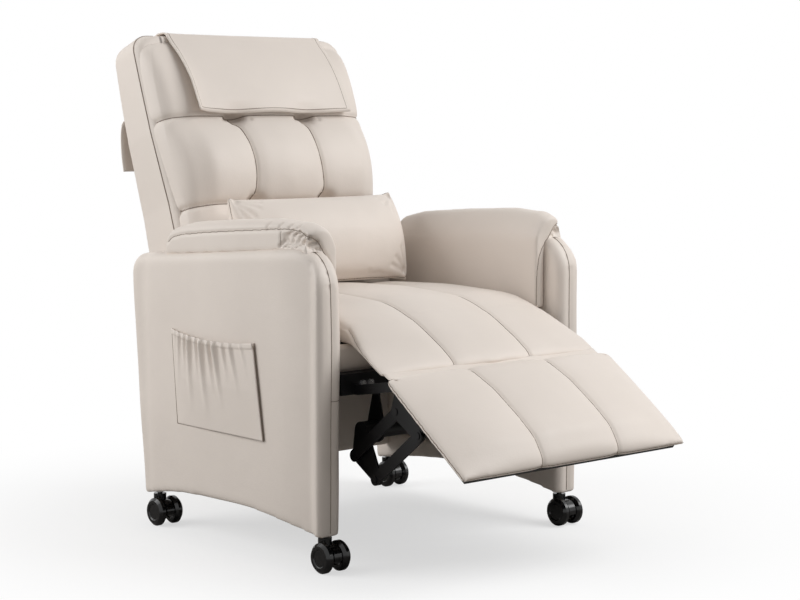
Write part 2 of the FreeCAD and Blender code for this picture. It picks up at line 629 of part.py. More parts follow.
# Footrest: a puffed cushion of three sewn panels on a board.
footrest_place_shares = (0, 0.083, 0.33, 0.61, 0.81, 0.945, 1)
footrest_rise_shares = (0.03, 0.5, 0.9, 1.0, 0.97, 0.55, 0.22)
footrest_edge_shares = (1.0, 1.0, 1.0, 1.0, 0.95, 0.9, 0.85)


def footrest_form():
    wires = []
    for share, rise, lift in zip(footrest_place_shares, footrest_rise_shares, footrest_edge_shares):
        along = dim.footrest_rear + share * (dim.footrest_front - dim.footrest_rear)
        edge = dim.footrest_foot + lift * (dim.footrest_edge - dim.footrest_foot)
        top = edge + rise * (dim.footrest_crest - dim.footrest_edge)
        crown = dim.footrest_crown * (rise + footrest_least_crown_share)
        half = dim.footrest_half
        points = [(-half, dim.footrest_foot), (half, dim.footrest_foot), (half, edge),
                  (dim.seat_seam, top), (-dim.seat_seam, top), (-half, edge)]
        shoulder = crown * (1 + rise)
        lean = dim.footrest_rear_lean / (edge - dim.footrest_foot) if share == 0 else 0
        wires.append(outline(points, (0, 0, shoulder, crown, shoulder, 0),
                             lambda x, above, along=along, edge=edge, lean=lean:
                             on_footrest(x, along + lean * (edge - above), above)))
    return loft(wires)


footrest_least_crown_share = 0.2
named(form("footrest_cushion", footrest_form()), "footrest_cushion")
board = footrest_block(-dim.board_half, dim.board_half, dim.board_rear, dim.board_front, board_foot,
                       dim.footrest_foot)
named(form("footrest_board", board), "footrest_board")

# Back: tufted cushion, wooden frame and outside panel on the recline hinge.
lean = math.radians(dim.back_lean)


def on_back(x, up, behind):
    """A point from its distances up the back and square behind it, from the recline hinge."""
    return FreeCAD.Vector(x, dim.recline_y + up * math.sin(lean) + behind * math.cos(lean),
                          dim.recline_z + up * math.cos(lean) - behind * math.sin(lean))


def back_slab(half_from, half_to, corners, sags):
    wire = outline(corners, sags, lambda up, behind: on_back(half_from, up, behind))
    return Part.Face(wire).extrude(FreeCAD.Vector(half_to - half_from, 0, 0))


# Across the back: share of the half width, share of the crown in the tufted rows and in the head row,
# and how far the sewn rows are drawn in at the seams.
back_across_shares = ((-1, 0.0, 0.0, 0.0), (-0.93, 0.5, 0.5, 0.42), (-0.74, 0.96, 0.96, 0.9),
                      (-0.395, 0.93, 1.0, 0.86), (0, 1.0, 1.0, 1.0), (0.395, 0.93, 1.0, 0.86),
                      (0.74, 0.96, 0.96, 0.9), (0.93, 0.5, 0.5, 0.42), (1, 0.0, 0.0, 0.0))
head_low_share = 0.18


def back_cushion_form():
    wires = []
    for across, tuft_share, head_share, valley_share in back_across_shares:
        x = across * dim.back_half
        valley = -dim.back_seam - valley_share * dim.back_valley
        top_front = -dim.back_seam - head_share * dim.back_layer
        round_off = (1 - head_share) * dim.back_edge_radius
        points = [(dim.back_foot, -dim.back_layer), (dim.back_foot, -dim.back_seam),
                  (dim.back_low_seam, valley), (dim.back_high_seam, valley),
                  (dim.back_top - dim.back_edge_radius - round_off, top_front),
                  (dim.back_top - round_off, -dim.back_layer)]
        low = tuft_share * (dim.low_crest - dim.back_valley / 2)
        middle = tuft_share * (dim.back_crest - dim.back_valley) + back_least_sag_share * dim.back_layer
        head = head_share * head_low_share * dim.head_crest + back_least_sag_share * dim.back_layer
        corner = dim.back_layer / 2
        sags = (0, low + back_least_sag_share * dim.back_layer, middle, head, corner, 0)
        wires.append(outline(points, sags, lambda up, behind, x=x: on_back(x, up, behind)))
    return loft(wires)


back_least_sag_share = 0.1
back_cushion = back_cushion_form()
named(form("back_cushion", back_cushion), "back_cushion")


def back_rear(up):
    """How far behind the hinge the outside of the back lies."""
    share = up / dim.back_top
    return dim.back_rear_foot + share * (dim.back_rear_top - dim.back_rear_foot)


panel_top = dim.back_top - dim.back_edge_radius
rear_panel = back_slab(-dim.back_half, dim.back_half,
                       [(dim.back_panel_foot, dim.back_layer), (panel_top, dim.back_layer),
                        (panel_top, back_rear(panel_top)),
                        (dim.back_panel_foot, back_rear(dim.back_panel_foot))], (0, 0, 0, 0))
rear_edges = [edge for edge in rear_panel.Edges
              if (edge.CenterOfMass - on_back(edge.CenterOfMass.x, 0, 0)).dot(
                  FreeCAD.Vector(0, math.cos(lean), -math.sin(lean))) > back_rear(dim.back_top) - dim.overrun]
named(form("back_outside_panel", rear_panel.makeFillet(dim.back_edge_radius, rear_edges)),
      "back_outside_panel")

frame_top = dim.back_top - 2 * dim.back_edge_radius
ring = back_slab(-dim.back_frame_half, dim.back_frame_half,
                 [(dim.back_panel_foot, -dim.back_layer), (frame_top, -dim.back_layer),
                  (frame_top, dim.back_layer), (dim.back_panel_foot, dim.back_layer)], (0, 0, 0, 0))
opening_half = dim.back_frame_half - dim.back_stile
rail_places = (dim.back_panel_foot, dim.back_low_seam - dim.back_rail,
               dim.back_high_seam - dim.back_rail / 2, frame_top - dim.back_rail)
for lower, upper in zip(rail_places, rail_places[1:]):
    ring = ring.cut(back_slab(-opening_half, opening_half,
                              [(lower + dim.back_rail, -dim.back_layer - dim.overrun),
                               (upper, -dim.back_layer - dim.overrun), (upper, dim.back_layer + dim.overrun),
                               (lower + dim.back_rail, dim.back_layer + dim.overrun)], (0, 0, 0, 0)))
motor_bed = -dim.back_layer + dim.motor_height
before_rail = -dim.back_layer - dim.overrun
seats = [back_slab(-opening_half, opening_half,
                   [(place_up, before_rail), (place_up + dim.back_rail, before_rail),
                    (place_up + dim.back_rail, motor_bed), (place_up, motor_bed)], (0, 0, 0, 0))
         for place_up in rail_places[1:3]]
named(form("back_frame", ring.cut(Part.makeCompound(seats))), "back_frame")

motors = []
for place_up in rail_places[1:3]:
    for way in (-1, 1):
        centre = on_back(way * dim.tuft_spacing, place_up + dim.back_rail / 2, -dim.back_layer)
        motors.append(Part.makeCylinder(dim.motor_radius, dim.motor_height, centre,
                                        on_back(0, 0, 1) - on_back(0, 0, 0)))
named(form("massage_motors", Part.makeCompound(motors)), "massage_motors")

button_spot = -dim.back_seam - dim.back_valley * back_across_shares[3][3]
buttons = []
for way in (-1, 1):
    for up in (dim.back_low_seam, dim.back_high_seam):
        centre = on_back(way * dim.tuft_spacing, up, button_spot)
        dome = Part.makeSphere(dim.button_radius, centre)
        face_side = Part.makeCylinder(dim.button_radius, dim.button_height * 2, centre,
                                      on_back(0, 0, -1) - on_back(0, 0, 0))
        buttons.append(dome.cut(back_cushion).common(face_side))
named(form("tuft_buttons", Part.makeCompound(buttons)), "tuft_buttons")

# Head cover: a leather flap over the top of the back, hanging down its front and a little behind it.
cover = dim.head_cover_thickness
cover_front = -dim.back_seam - dim.head_cover_front
cover_top = dim.back_top + dim.pad_gap
cover_rear = back_rear(dim.back_top) + dim.pad_gap
hem = cover_top - dim.head_cover_drop
flap_points = [(hem, cover_front), (hem, cover_front + cover),
               (dim.back_top - dim.head_cover_drop / 2, -dim.back_layer),
               (dim.back_top - dim.head_cover_tail, back_rear(dim.back_top) - dim.overrun),
               (cover_top - dim.head_cover_tail, cover_rear + cover + dim.pad_gap),
               (cover_top - dim.back_edge_radius / 2 + cover, cover_rear + cover),
               (cover_top + cover, -dim.back_layer),
               (cover_top - dim.back_edge_radius + cover, -dim.back_seam - dim.back_layer - cover)]
flap = back_slab(-dim.head_cover_half, dim.head_cover_half, flap_points,
                 (0, 0, 0, 0, 0, 0, -cover, -2 * cover))
flap = flap.cut(back_cushion).cut(rear_panel).cut(ring)
flap = sorted(flap.Solids, key=lambda solid: solid.Volume)[-1]
named(form("head_cover", flap), "head_cover")

# Rear flap: the free lower edge of the outside cover, over the place where the back is fixed.
flap_root = back_rear(dim.rear_flap_head)
flap_edge = back_rear(dim.rear_flap_foot) + dim.rear_flap_reach
rear_flap = back_slab(-dim.rear_flap_half, dim.rear_flap_half,
                      [(dim.rear_flap_head, flap_root),
                       (dim.rear_flap_head - dim.rear_flap_thickness, flap_root + dim.rear_flap_thickness),
                       (dim.rear_flap_foot, flap_edge),
                       (dim.rear_flap_foot, flap_edge - dim.rear_flap_thickness)], (0, 0, 0, 0))
named(form("rear_flap", rear_flap.cut(rear_panel)), "rear_flap")

# Recline hinge: a plate and pin on each arm, and a bracket on each stile of the back.
recline = ("size.recline_y", "size.recline_z")
bracket_end = ("size.recline_y + size.bracket_top * sin(size.back_lean * 1deg)",
               "size.recline_z + size.bracket_top * cos(size.back_lean * 1deg)")
recline_pins = []
for side, sign in sides:
    start = side_start(sign, "size.back_frame_half", "size.plate_thickness")
    named(pivot_plate(f"back_bracket_{side}", [recline, bracket_end], ["size.hinge_boss_radius"] * 2,
                      ["size.hinge_pin_radius + size.pin_play", None], "size.plate_thickness", start),
          f"back_bracket_{side}")
    start = side_start(sign, f"{plate_face} - size.plate_thickness", "size.plate_thickness")
    foot = ("size.recline_y - size.hinge_plate_radius", "size.recline_z - size.hinge_boss_radius")
    named(pivot_plate(f"recline_plate_{side}", [recline, foot], ["size.hinge_boss_radius"] * 2,
                      [None, None], "size.plate_thickness", start), f"recline_plate_{side}")
    reach = f"{plate_face} - size.plate_thickness - size.back_frame_half"
    recline_pins.append(bar(f"recline_pin_{side}", "size.hinge_pin_radius", reach,
                            (side_start(sign, "size.back_frame_half", f"({reach})"), *recline), "x"))
named(group("recline_pins", recline_pins), "recline_pins")

# Lumbar pillow: two panels sewn round the edge, drawn in along the middle of each side.
pillow_across_shares = ((-1, 0.0), (-0.96, 0.28), (-0.85, 0.6), (-0.6, 0.86), (-0.25, 0.98),
                        (0.25, 0.98), (0.6, 0.86), (0.85, 0.6), (0.96, 0.28), (1, 0.0))
pillow_tilt = math.radians(dim.pillow_lean)


def on_pillow(x, up, behind):
    return FreeCAD.Vector(x, dim.pillow_y + up * math.sin(pillow_tilt) + behind * math.cos(pillow_tilt),
                          dim.pillow_z + up * math.cos(pillow_tilt) - behind * math.sin(pillow_tilt))


def pillow_form():
    wires = []
    edge = dim.pillow_edge / 2
    for across, fill in pillow_across_shares:
        half = dim.pillow_height / 2 - dim.pillow_pull * fill
        sag = (dim.pillow_thickness / 2 - edge) * fill + edge
        points = [(-half, edge), (-half, -edge), (half, -edge), (half, edge)]
        wires.append(outline(points, (0, sag, 0, sag),
                             lambda up, behind, x=across * dim.pillow_half: on_pillow(x, up, behind)))
    return loft(wires)


named(form("lumbar_pillow", pillow_form()), "lumbar_pillow")

# Rear skirt between the arms, and the control box of the massage motors with its power inlet.
named(block("rear_skirt",
            (f"2 * {plate_face}", "size.skirt_thickness", "size.skirt_head - size.skirt_foot"),
            (f"-{plate_face}", "size.skirt_rear - size.skirt_thickness", "size.skirt_foot")), "rear_skirt")
box_corner = ("-size.box_half", "size.rear_crossbar - size.box_depth",
              "size.crossbar_foot + size.crossbar_height - size.box_height")
case = block("control_case", ("2 * size.box_half", "size.box_depth", "size.box_height"), box_corner)
box_middle = "size.rear_crossbar - size.box_depth / 2"
collar = bar("inlet_collar", "size.inlet_collar_radius", "size.inlet_collar_height + size.overrun",
             ("0", box_middle, f"{box_corner[2]} - size.inlet_collar_height"))
socket = bar("inlet_bore", "size.inlet_radius", "size.inlet_depth",
             ("0", box_middle, f"{box_corner[2]} - size.inlet_collar_height"))
named(cut("control_box", fuse("control_case_with_collar", [case, collar]), socket), "control_box")


# Casters: twin wheels under a hood whose stem turns in a socket in the foot of the arm.
def wheel(name, x, y):
    """One wheel turned about its axle, with bevelled tread edges and a recessed hub on both faces."""
    body = doc.addObject("PartDesign::Body", name)
    plane = next(item for item in body.Origin.OriginFeatures if item.Role == "XY_Plane")
    sketch = body.newObject("Sketcher::SketchObject", name + "_section")
    sketch.AttachmentSupport = [(plane, "")]
    sketch.MapMode = "FlatFace"
    corners = [("-size.wheel_width / 2 + size.hub_recess", "size.axle_radius"),
               ("size.wheel_width / 2 - size.hub_recess", "size.axle_radius"),
               ("size.wheel_width / 2 - size.hub_recess", "size.hub_radius"),
               ("size.wheel_width / 2", "size.hub_radius + size.hub_recess"),
               ("size.wheel_width / 2", "size.wheel_radius - size.wheel_round"),
               ("size.wheel_width / 2 - size.wheel_round", "size.wheel_radius"),
               ("-size.wheel_width / 2 + size.wheel_round", "size.wheel_radius"),
               ("-size.wheel_width / 2", "size.wheel_radius - size.wheel_round"),
               ("-size.wheel_width / 2", "size.hub_radius + size.hub_recess"),
               ("-size.wheel_width / 2 + size.hub_recess", "size.hub_radius")]
    points = [FreeCAD.Vector(value(a), value(b), 0) for a, b in corners]
    lines = [sketch.addGeometry(Part.LineSegment(points[index - 1], points[index]))
             for index in range(len(points))]
    for index, corner in enumerate(corners):
        following = lines[(index + 1) % len(lines)]
        sketch.addConstraint(Sketcher.Constraint("Coincident", lines[index], 2, following, 1))
        fix_point(sketch, lines[index], 2, corner)
    turned = body.newObject("PartDesign::Revolution", name + "_turned")
    turned.Profile = sketch
    turned.ReferenceAxis = (sketch, ["H_Axis"])
    turned.Angle = 360
    sketch.Visibility = False
    return place(body, x, y, "size.wheel_radius")


sockets = []
for end, way in (("front", -1), ("rear", 1)):
    for side, sign in sides:
        name = f"{end}_{side}"
        stem_x = f"{sign} * size.caster_x"
        stem_y = f"{way} * size.caster_y"
        axle_y = f"{stem_y} - size.caster_lead"
        spread = "(size.wheel_gap + size.wheel_width) / 2"
        wheels = [wheel(f"wheel_{name}_{index}", f"{stem_x} + {shift} * {spread}", axle_y)
                  for index, shift in enumerate((-1, 1))]
        axle_length = "(size.wheel_gap + 2 * (size.wheel_width - size.hub_recess))"
        axle = bar(f"axle_{name}", "size.axle_radius", axle_length,
                   (f"{stem_x} - {axle_length} / 2", axle_y, "size.wheel_radius"), "x")
        named(group(f"caster_wheels_{name}", [*wheels, axle]), f"caster_wheels_{name}")

        disc = bar(f"hood_disc_{name}", "size.hood_radius", "size.hood_width",
                   (f"{stem_x} - size.hood_width / 2", axle_y, "size.wheel_radius"), "x")
        neck = bar(f"hood_neck_{name}", "size.neck_radius", "size.neck_head - size.wheel_radius",
                   (stem_x, stem_y, "size.wheel_radius"))
        across = "size.hood_width + 2 * size.overrun"
        beside_hood = f"{stem_x} - size.hood_width / 2 - size.overrun"
        trim = block(f"hood_trim_{name}", (across, "4 * size.hood_radius", "size.hood_radius * 2"),
                     (beside_hood, f"{axle_y} - 2 * size.hood_radius",
                      "size.wheel_radius - size.hood_radius * 2 - size.axle_radius - size.hood_play"))
        bore = bar(f"hood_bore_{name}", "size.axle_radius + size.pin_play", across,
                   (beside_hood, axle_y, "size.wheel_radius"), "x")
        room_width = "size.wheel_width + size.overrun"
        room_starts = (f"{stem_x} + size.hood_width / 2", f"{stem_x} - size.hood_width / 2 - ({room_width})")
        wheel_room = [bar(f"hood_room_{name}_{index}", "size.wheel_radius + size.hood_play", room_width,
                          (room_start, axle_y, "size.wheel_radius"), "x")
                      for index, room_start in enumerate(room_starts)]
        stem_foot = "size.wheel_radius + size.hood_radius / 2"
        stem = bar(f"hood_stem_{name}", "size.stem_radius",
                   f"size.stem_length + size.arm_foot - ({stem_foot})", (stem_x, stem_y, stem_foot))
        solid = fuse(f"hood_solid_{name}", [disc, neck])
        trimmed = cut(f"hood_trimmed_{name}", solid, fuse(f"hood_cuts_{name}", [trim, bore, *wheel_room]))
        named(fuse(f"caster_hood_{name}", [trimmed, stem]), f"caster_hood_{name}")

        sleeve = bar(f"socket_sleeve_{name}", "size.socket_radius", "size.socket_length",
                     (stem_x, stem_y, "size.arm_foot"))
        sleeve_bore = bar(f"socket_bore_{name}", "size.stem_radius + size.socket_play", "size.socket_length",
                          (stem_x, stem_y, "size.arm_foot - size.overrun"))
        sockets.append(cut(f"socket_{name}", sleeve, sleeve_bore))
named(group("caster_sockets", sockets), "caster_sockets")

doc.recompute()
for item in doc.Objects:
    if "Invalid" in item.State or "Error" in item.State:
        raise RuntimeError(f"{item.Name} failed: {item.State}")
for item in nodes:
    if item.Shape.isNull() or not item.Shape.isValid() or not item.Shape.Solids:
        raise RuntimeError(f"{item.Label} has no valid solid")

os.makedirs("parts", exist_ok=True)
for item in nodes:
    item.Shape.exportStep(f"parts/{item.Label}.step")
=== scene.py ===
"""Looks of the massage recliner: leather over foam, a black steel linkage and twin-wheel casters.

The chair faces -Y and stands on Z = 0. Right and left are the sitter's, so the right arm is at -X.
"""
import math

import bpy
import numpy as np
from mathutils import Matrix, Vector, noise


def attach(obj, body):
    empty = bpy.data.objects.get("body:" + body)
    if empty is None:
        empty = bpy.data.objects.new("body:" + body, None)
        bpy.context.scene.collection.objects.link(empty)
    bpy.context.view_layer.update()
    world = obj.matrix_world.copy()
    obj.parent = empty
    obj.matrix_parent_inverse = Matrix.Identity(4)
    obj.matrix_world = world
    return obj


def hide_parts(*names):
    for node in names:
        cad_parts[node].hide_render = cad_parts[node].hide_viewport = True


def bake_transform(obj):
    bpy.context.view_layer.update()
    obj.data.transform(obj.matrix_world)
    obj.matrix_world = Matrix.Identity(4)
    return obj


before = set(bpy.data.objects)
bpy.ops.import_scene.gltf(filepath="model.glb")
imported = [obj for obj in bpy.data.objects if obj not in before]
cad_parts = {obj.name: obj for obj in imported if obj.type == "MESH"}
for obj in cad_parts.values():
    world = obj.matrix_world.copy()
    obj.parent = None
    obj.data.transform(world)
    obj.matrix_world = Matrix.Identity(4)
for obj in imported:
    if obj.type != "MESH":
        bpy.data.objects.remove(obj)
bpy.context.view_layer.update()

# Arm shells: bonded leather pulled over foam on a plywood frame, rounded along the front, top and
# rear like a bolster. A seam runs down the nose, and the cover is turned under along the arched foot.


def linear(text):
    """An sRGB hex colour as the linear colour that a shader takes."""
    parts = [int(text[i:i + 2], 16) / 255 for i in (0, 2, 4)]
    return [c / 12.92 if c <= 0.04045 else ((c + 0.055) / 1.055) ** 2.4 for c in parts] + [1.0]


def add_node(tree, kind, links=(), **settings):
    """Adds a shader node, sets its values and sockets, and links other nodes' outputs to it."""
    node = tree.nodes.new(kind)
    for name, value in settings.items():
        if hasattr(node, name):
            setattr(node, name, value)
        else:
            node.inputs[name.replace("_", " ").title()].default_value = value
    for socket, source, output in links:
        tree.links.new(source.outputs[output], node.inputs[socket])
    return node


def new_material(name):
    """A material, its node tree, its main shader and the coordinates of the object that wears it."""
    material = bpy.data.materials.new(name)
    material.use_nodes = True
    tree = material.node_tree
    return material, tree, tree.nodes["Principled BSDF"], add_node(tree, "ShaderNodeTexCoord")


def mottle(tree, place, size, detail=2.0):
    """A noise with blotches of about size metres."""
    return add_node(tree, "ShaderNodeTexNoise", [("Vector", place, "Object")], Scale=1 / size,
                    Detail=detail)


def two_tones(tree, shader, pattern, dark, light):
    """Colours a shader between two tones by a pattern."""
    # In a mix of colours, inputs 6 and 7 are the two colours and output 2 is the result.
    tint = add_node(tree, "ShaderNodeMix", [("Factor", pattern, "Fac")], data_type="RGBA")
    tint.inputs[6].default_value = linear(dark)
    tint.inputs[7].default_value = linear(light)
    tree.links.new(tint.outputs[2], shader.inputs["Base Color"])


def uneven_gloss(tree, shader, pattern, low, high):
    """Varies a shader's roughness between two values by a pattern."""
    gloss = add_node(tree, "ShaderNodeMapRange", [("Value", pattern, "Fac")])
    gloss.inputs["To Min"].default_value = low
    gloss.inputs["To Max"].default_value = high
    tree.links.new(gloss.outputs["Result"], shader.inputs["Roughness"])


def emboss(tree, shader, pattern, strength, distance):
    """Raises a shader's surface by a pattern, over a distance in metres."""
    bump = add_node(tree, "ShaderNodeBump", [("Height", pattern, "Fac")], Strength=strength,
                    Distance=distance)
    tree.links.new(bump.outputs["Normal"], shader.inputs["Normal"])


# Bonded leather: embossed polyurethane over fabric. It shows a soft pebble, a satin sheen and slow
# changes of tone. The pebble is 1.5 mm on the real hide and drawn at 2.5 mm so that it shows.
leather, tree, shader, place = new_material("bonded_leather_ivory")
two_tones(tree, shader, mottle(tree, place, size=1 / 9, detail=3.0), "DED4CB", "E7DDD4")
pebble = add_node(tree, "ShaderNodeTexVoronoi", [("Vector", place, "Object")], Scale=1 / 0.0025)
wrinkle = mottle(tree, place, size=0.03, detail=4.0)
grain = add_node(tree, "ShaderNodeBump", [("Height", pebble, "Distance")], Strength=0.14,
                 Distance=0.0006)
soft = add_node(tree, "ShaderNodeBump", [("Height", wrinkle, "Fac"), ("Normal", grain, "Normal")],
                Strength=0.10, Distance=0.004)
tree.links.new(soft.outputs["Normal"], shader.inputs["Normal"])
uneven_gloss(tree, shader, wrinkle, low=0.44, high=0.56)
shader.inputs["Specular IOR Level"].default_value = 0.4
shader.inputs["Sheen Weight"].default_value = 0.05

# Sewing thread, its colour partly painted shade for the shadowed crack of a seam: waxed polyester, a
# few tones darker than the hide.
thread, tree, shader, place = new_material("seam_thread_with_painted_crack_shade")
two_tones(tree, shader, mottle(tree, place, size=0.004), "84766B", "9C8E82")
shader.inputs["Roughness"].default_value = 0.75


def only(piece):
    """Makes one object the selected and active one."""
    bpy.ops.object.select_all(action="DESELECT")
    piece.select_set(True)
    bpy.context.view_layer.objects.active = piece


def apply_all(piece):
    """Applies all the modifiers of a piece in their order."""
    only(piece)
    for modifier in list(piece.modifiers):
        bpy.ops.object.modifier_apply(modifier=modifier.name)


def pick_edges(piece, test):
    """Selects the edges whose two ends pass the test, and opens the piece in edit mode."""
    only(piece)
    bpy.context.tool_settings.mesh_select_mode = (False, True, False)
    for item in (*piece.data.polygons, *piece.data.edges, *piece.data.vertices):
        item.select = False
    for edge in piece.data.edges:
        a, b = (piece.data.vertices[i].co for i in edge.vertices)
        edge.select = test(a, b)
    bpy.ops.object.mode_set(mode="EDIT")


def round_edges(piece, test, radius, segments, clamp=False):
    """Rounds the edges whose two ends pass the test."""
    pick_edges(piece, test)
    bpy.ops.mesh.bevel(offset=radius, segments=segments, affect="EDGES", clamp_overlap=clamp)
    bpy.ops.object.mode_set(mode="OBJECT")


def new_block(name):
    """A cube of unit size about the origin, to be shaped by its corners."""
    bpy.ops.object.select_all(action="DESELECT")
    bpy.ops.mesh.primitive_cube_add(size=1)
    bpy.context.object.name = name
    return bpy.context.object


def cut_away(piece, cutters):
    """Takes the cutters' volume out of a piece and removes them."""
    for cutter in cutters:
        opening = piece.modifiers.new("opening", "BOOLEAN")
        opening.object = cutter
        opening.operation = "DIFFERENCE"
        apply_all(piece)
        bpy.data.objects.remove(cutter)


def even_mesh(piece, voxel, smooth):
    """Remeshes a piece evenly and eases its hard steps."""
    remesh = piece.modifiers.new("even", "REMESH")
    remesh.mode = "VOXEL"
    remesh.voxel_size = voxel
    ease = piece.modifiers.new("ease", "SMOOTH")
    ease.factor = 0.5
    ease.iterations = smooth
    apply_all(piece)


def skin(piece):
    """A piece's points and the directions that they face, as two tables of numbers."""
    tables = []
    for name in ("co", "normal"):
        table = np.empty(3 * len(piece.data.vertices), dtype=np.float32)
        piece.data.vertices.foreach_get(name, table)
        tables.append(table.reshape(-1, 3))
    return tables


def set_points(piece, points):
    """Moves the points of a piece to new places."""
    piece.data.vertices.foreach_set("co", np.asarray(points, dtype=np.float32).ravel())
    piece.data.update()
    bpy.context.view_layer.update()


def slacken(piece, size, amount):
    """Slow swells and hollows of hide over foam, size metres apart and amount metres deep."""
    points, normals = skin(piece)
    swell = np.array([amount * noise.noise(Vector(point) / size) for point in points])
    set_points(piece, points + normals * swell[:, None])


def through(points, step=0.004):
    """Points a step apart on a smooth line through the given ones."""
    points = [Vector(p) for p in points]
    ends = [2 * points[0] - points[1], *points, 2 * points[-1] - points[-2]]
    line = []
    for a, b, c, d in zip(ends, ends[1:], ends[2:], ends[3:]):
        count = max(2, round((c - b).length / step))
        for i in range(count):
            s = i / count
            line.append(0.5 * (2 * b + (c - a) * s + (2 * a - 5 * b + 4 * c - d) * s * s
                               + (3 * b - a - 3 * c + d) * s ** 3))
    return [*line, points[-1]]


# A ray that looks for the skin starts this many metres outside the point that it aims through.
cast_from = 0.12


def on_skin(piece, point, lift=0.0, toward=None):
    """The nearest place on a piece, or the one met in a direction, lifted off it by lift metres."""
    if toward is not None:
        found, where, normal, _ = piece.ray_cast(point - toward * cast_from, toward)
        if found:
            return where + normal * lift
    _, where, normal, _ = piece.closest_point_on_mesh(point)
    return where + normal * lift


def furrow(piece, guide, depth, width, toward=None):
    """Sinks a soft groove into a piece along a line over its skin, and gives that line."""
    bpy.context.view_layer.update()
    line = [on_skin(piece, point, 0.0, toward) for point in through(guide)]
    run = np.array(line)
    points, normals = skin(piece)
    reach = 3 * width
    near = np.where(((points > run.min(0) - reach) & (points < run.max(0) + reach)).all(1))[0]
    for part in np.array_split(near, 1 + len(near) // 4000):
        far = np.sqrt(((points[part][:, None] - run[None]) ** 2).sum(2)).min(1)
        points[part] -= normals[part] * (depth * np.exp(-(far / width) ** 2))[:, None]
    set_points(piece, points)
    return line


def lay_thread(name, line, radius):
    """A thread along a line of points, as a mesh."""
    curve = bpy.data.curves.new(name, "CURVE")
    curve.dimensions = "3D"
    curve.bevel_depth = radius
    curve.bevel_resolution = 1
    spline = curve.splines.new("POLY")
    spline.points.add(len(line) - 1)
    for point, where in zip(spline.points, line):
        point.co = (*where, 1)
    stitch = bpy.data.objects.new(name, curve)
    bpy.context.scene.collection.objects.link(stitch)
    only(stitch)
    bpy.ops.object.convert(target="MESH")
    return bpy.context.object


def dress(piece, body, material, slot, *nodes):
    """Gives a finished piece its material, smooth shading and body, and hides the CAD nodes that it
    stands for; its slot is not used.
    """
    piece.data.materials.clear()
    piece.data.materials.append(material)
    only(piece)
    bpy.ops.object.shade_smooth()
    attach(piece, body)
    if nodes:
        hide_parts(*nodes)


def mirrored(points, sign):
    """Points given for the left, on the side that the sign names."""
    return [(sign * x, y, z) for x, y, z in points]


def sew(piece, name, body, guide, depth, width, radius=0.0007, toward=None):
    """Sinks a seam into a piece and lays its thread along it."""
    line = furrow(piece, guide, depth, width, toward)
    stitch = lay_thread(name, [on_skin(piece, where, 0.0002, toward) for where in line], radius)
    dress(stitch, body, thread, "leather")


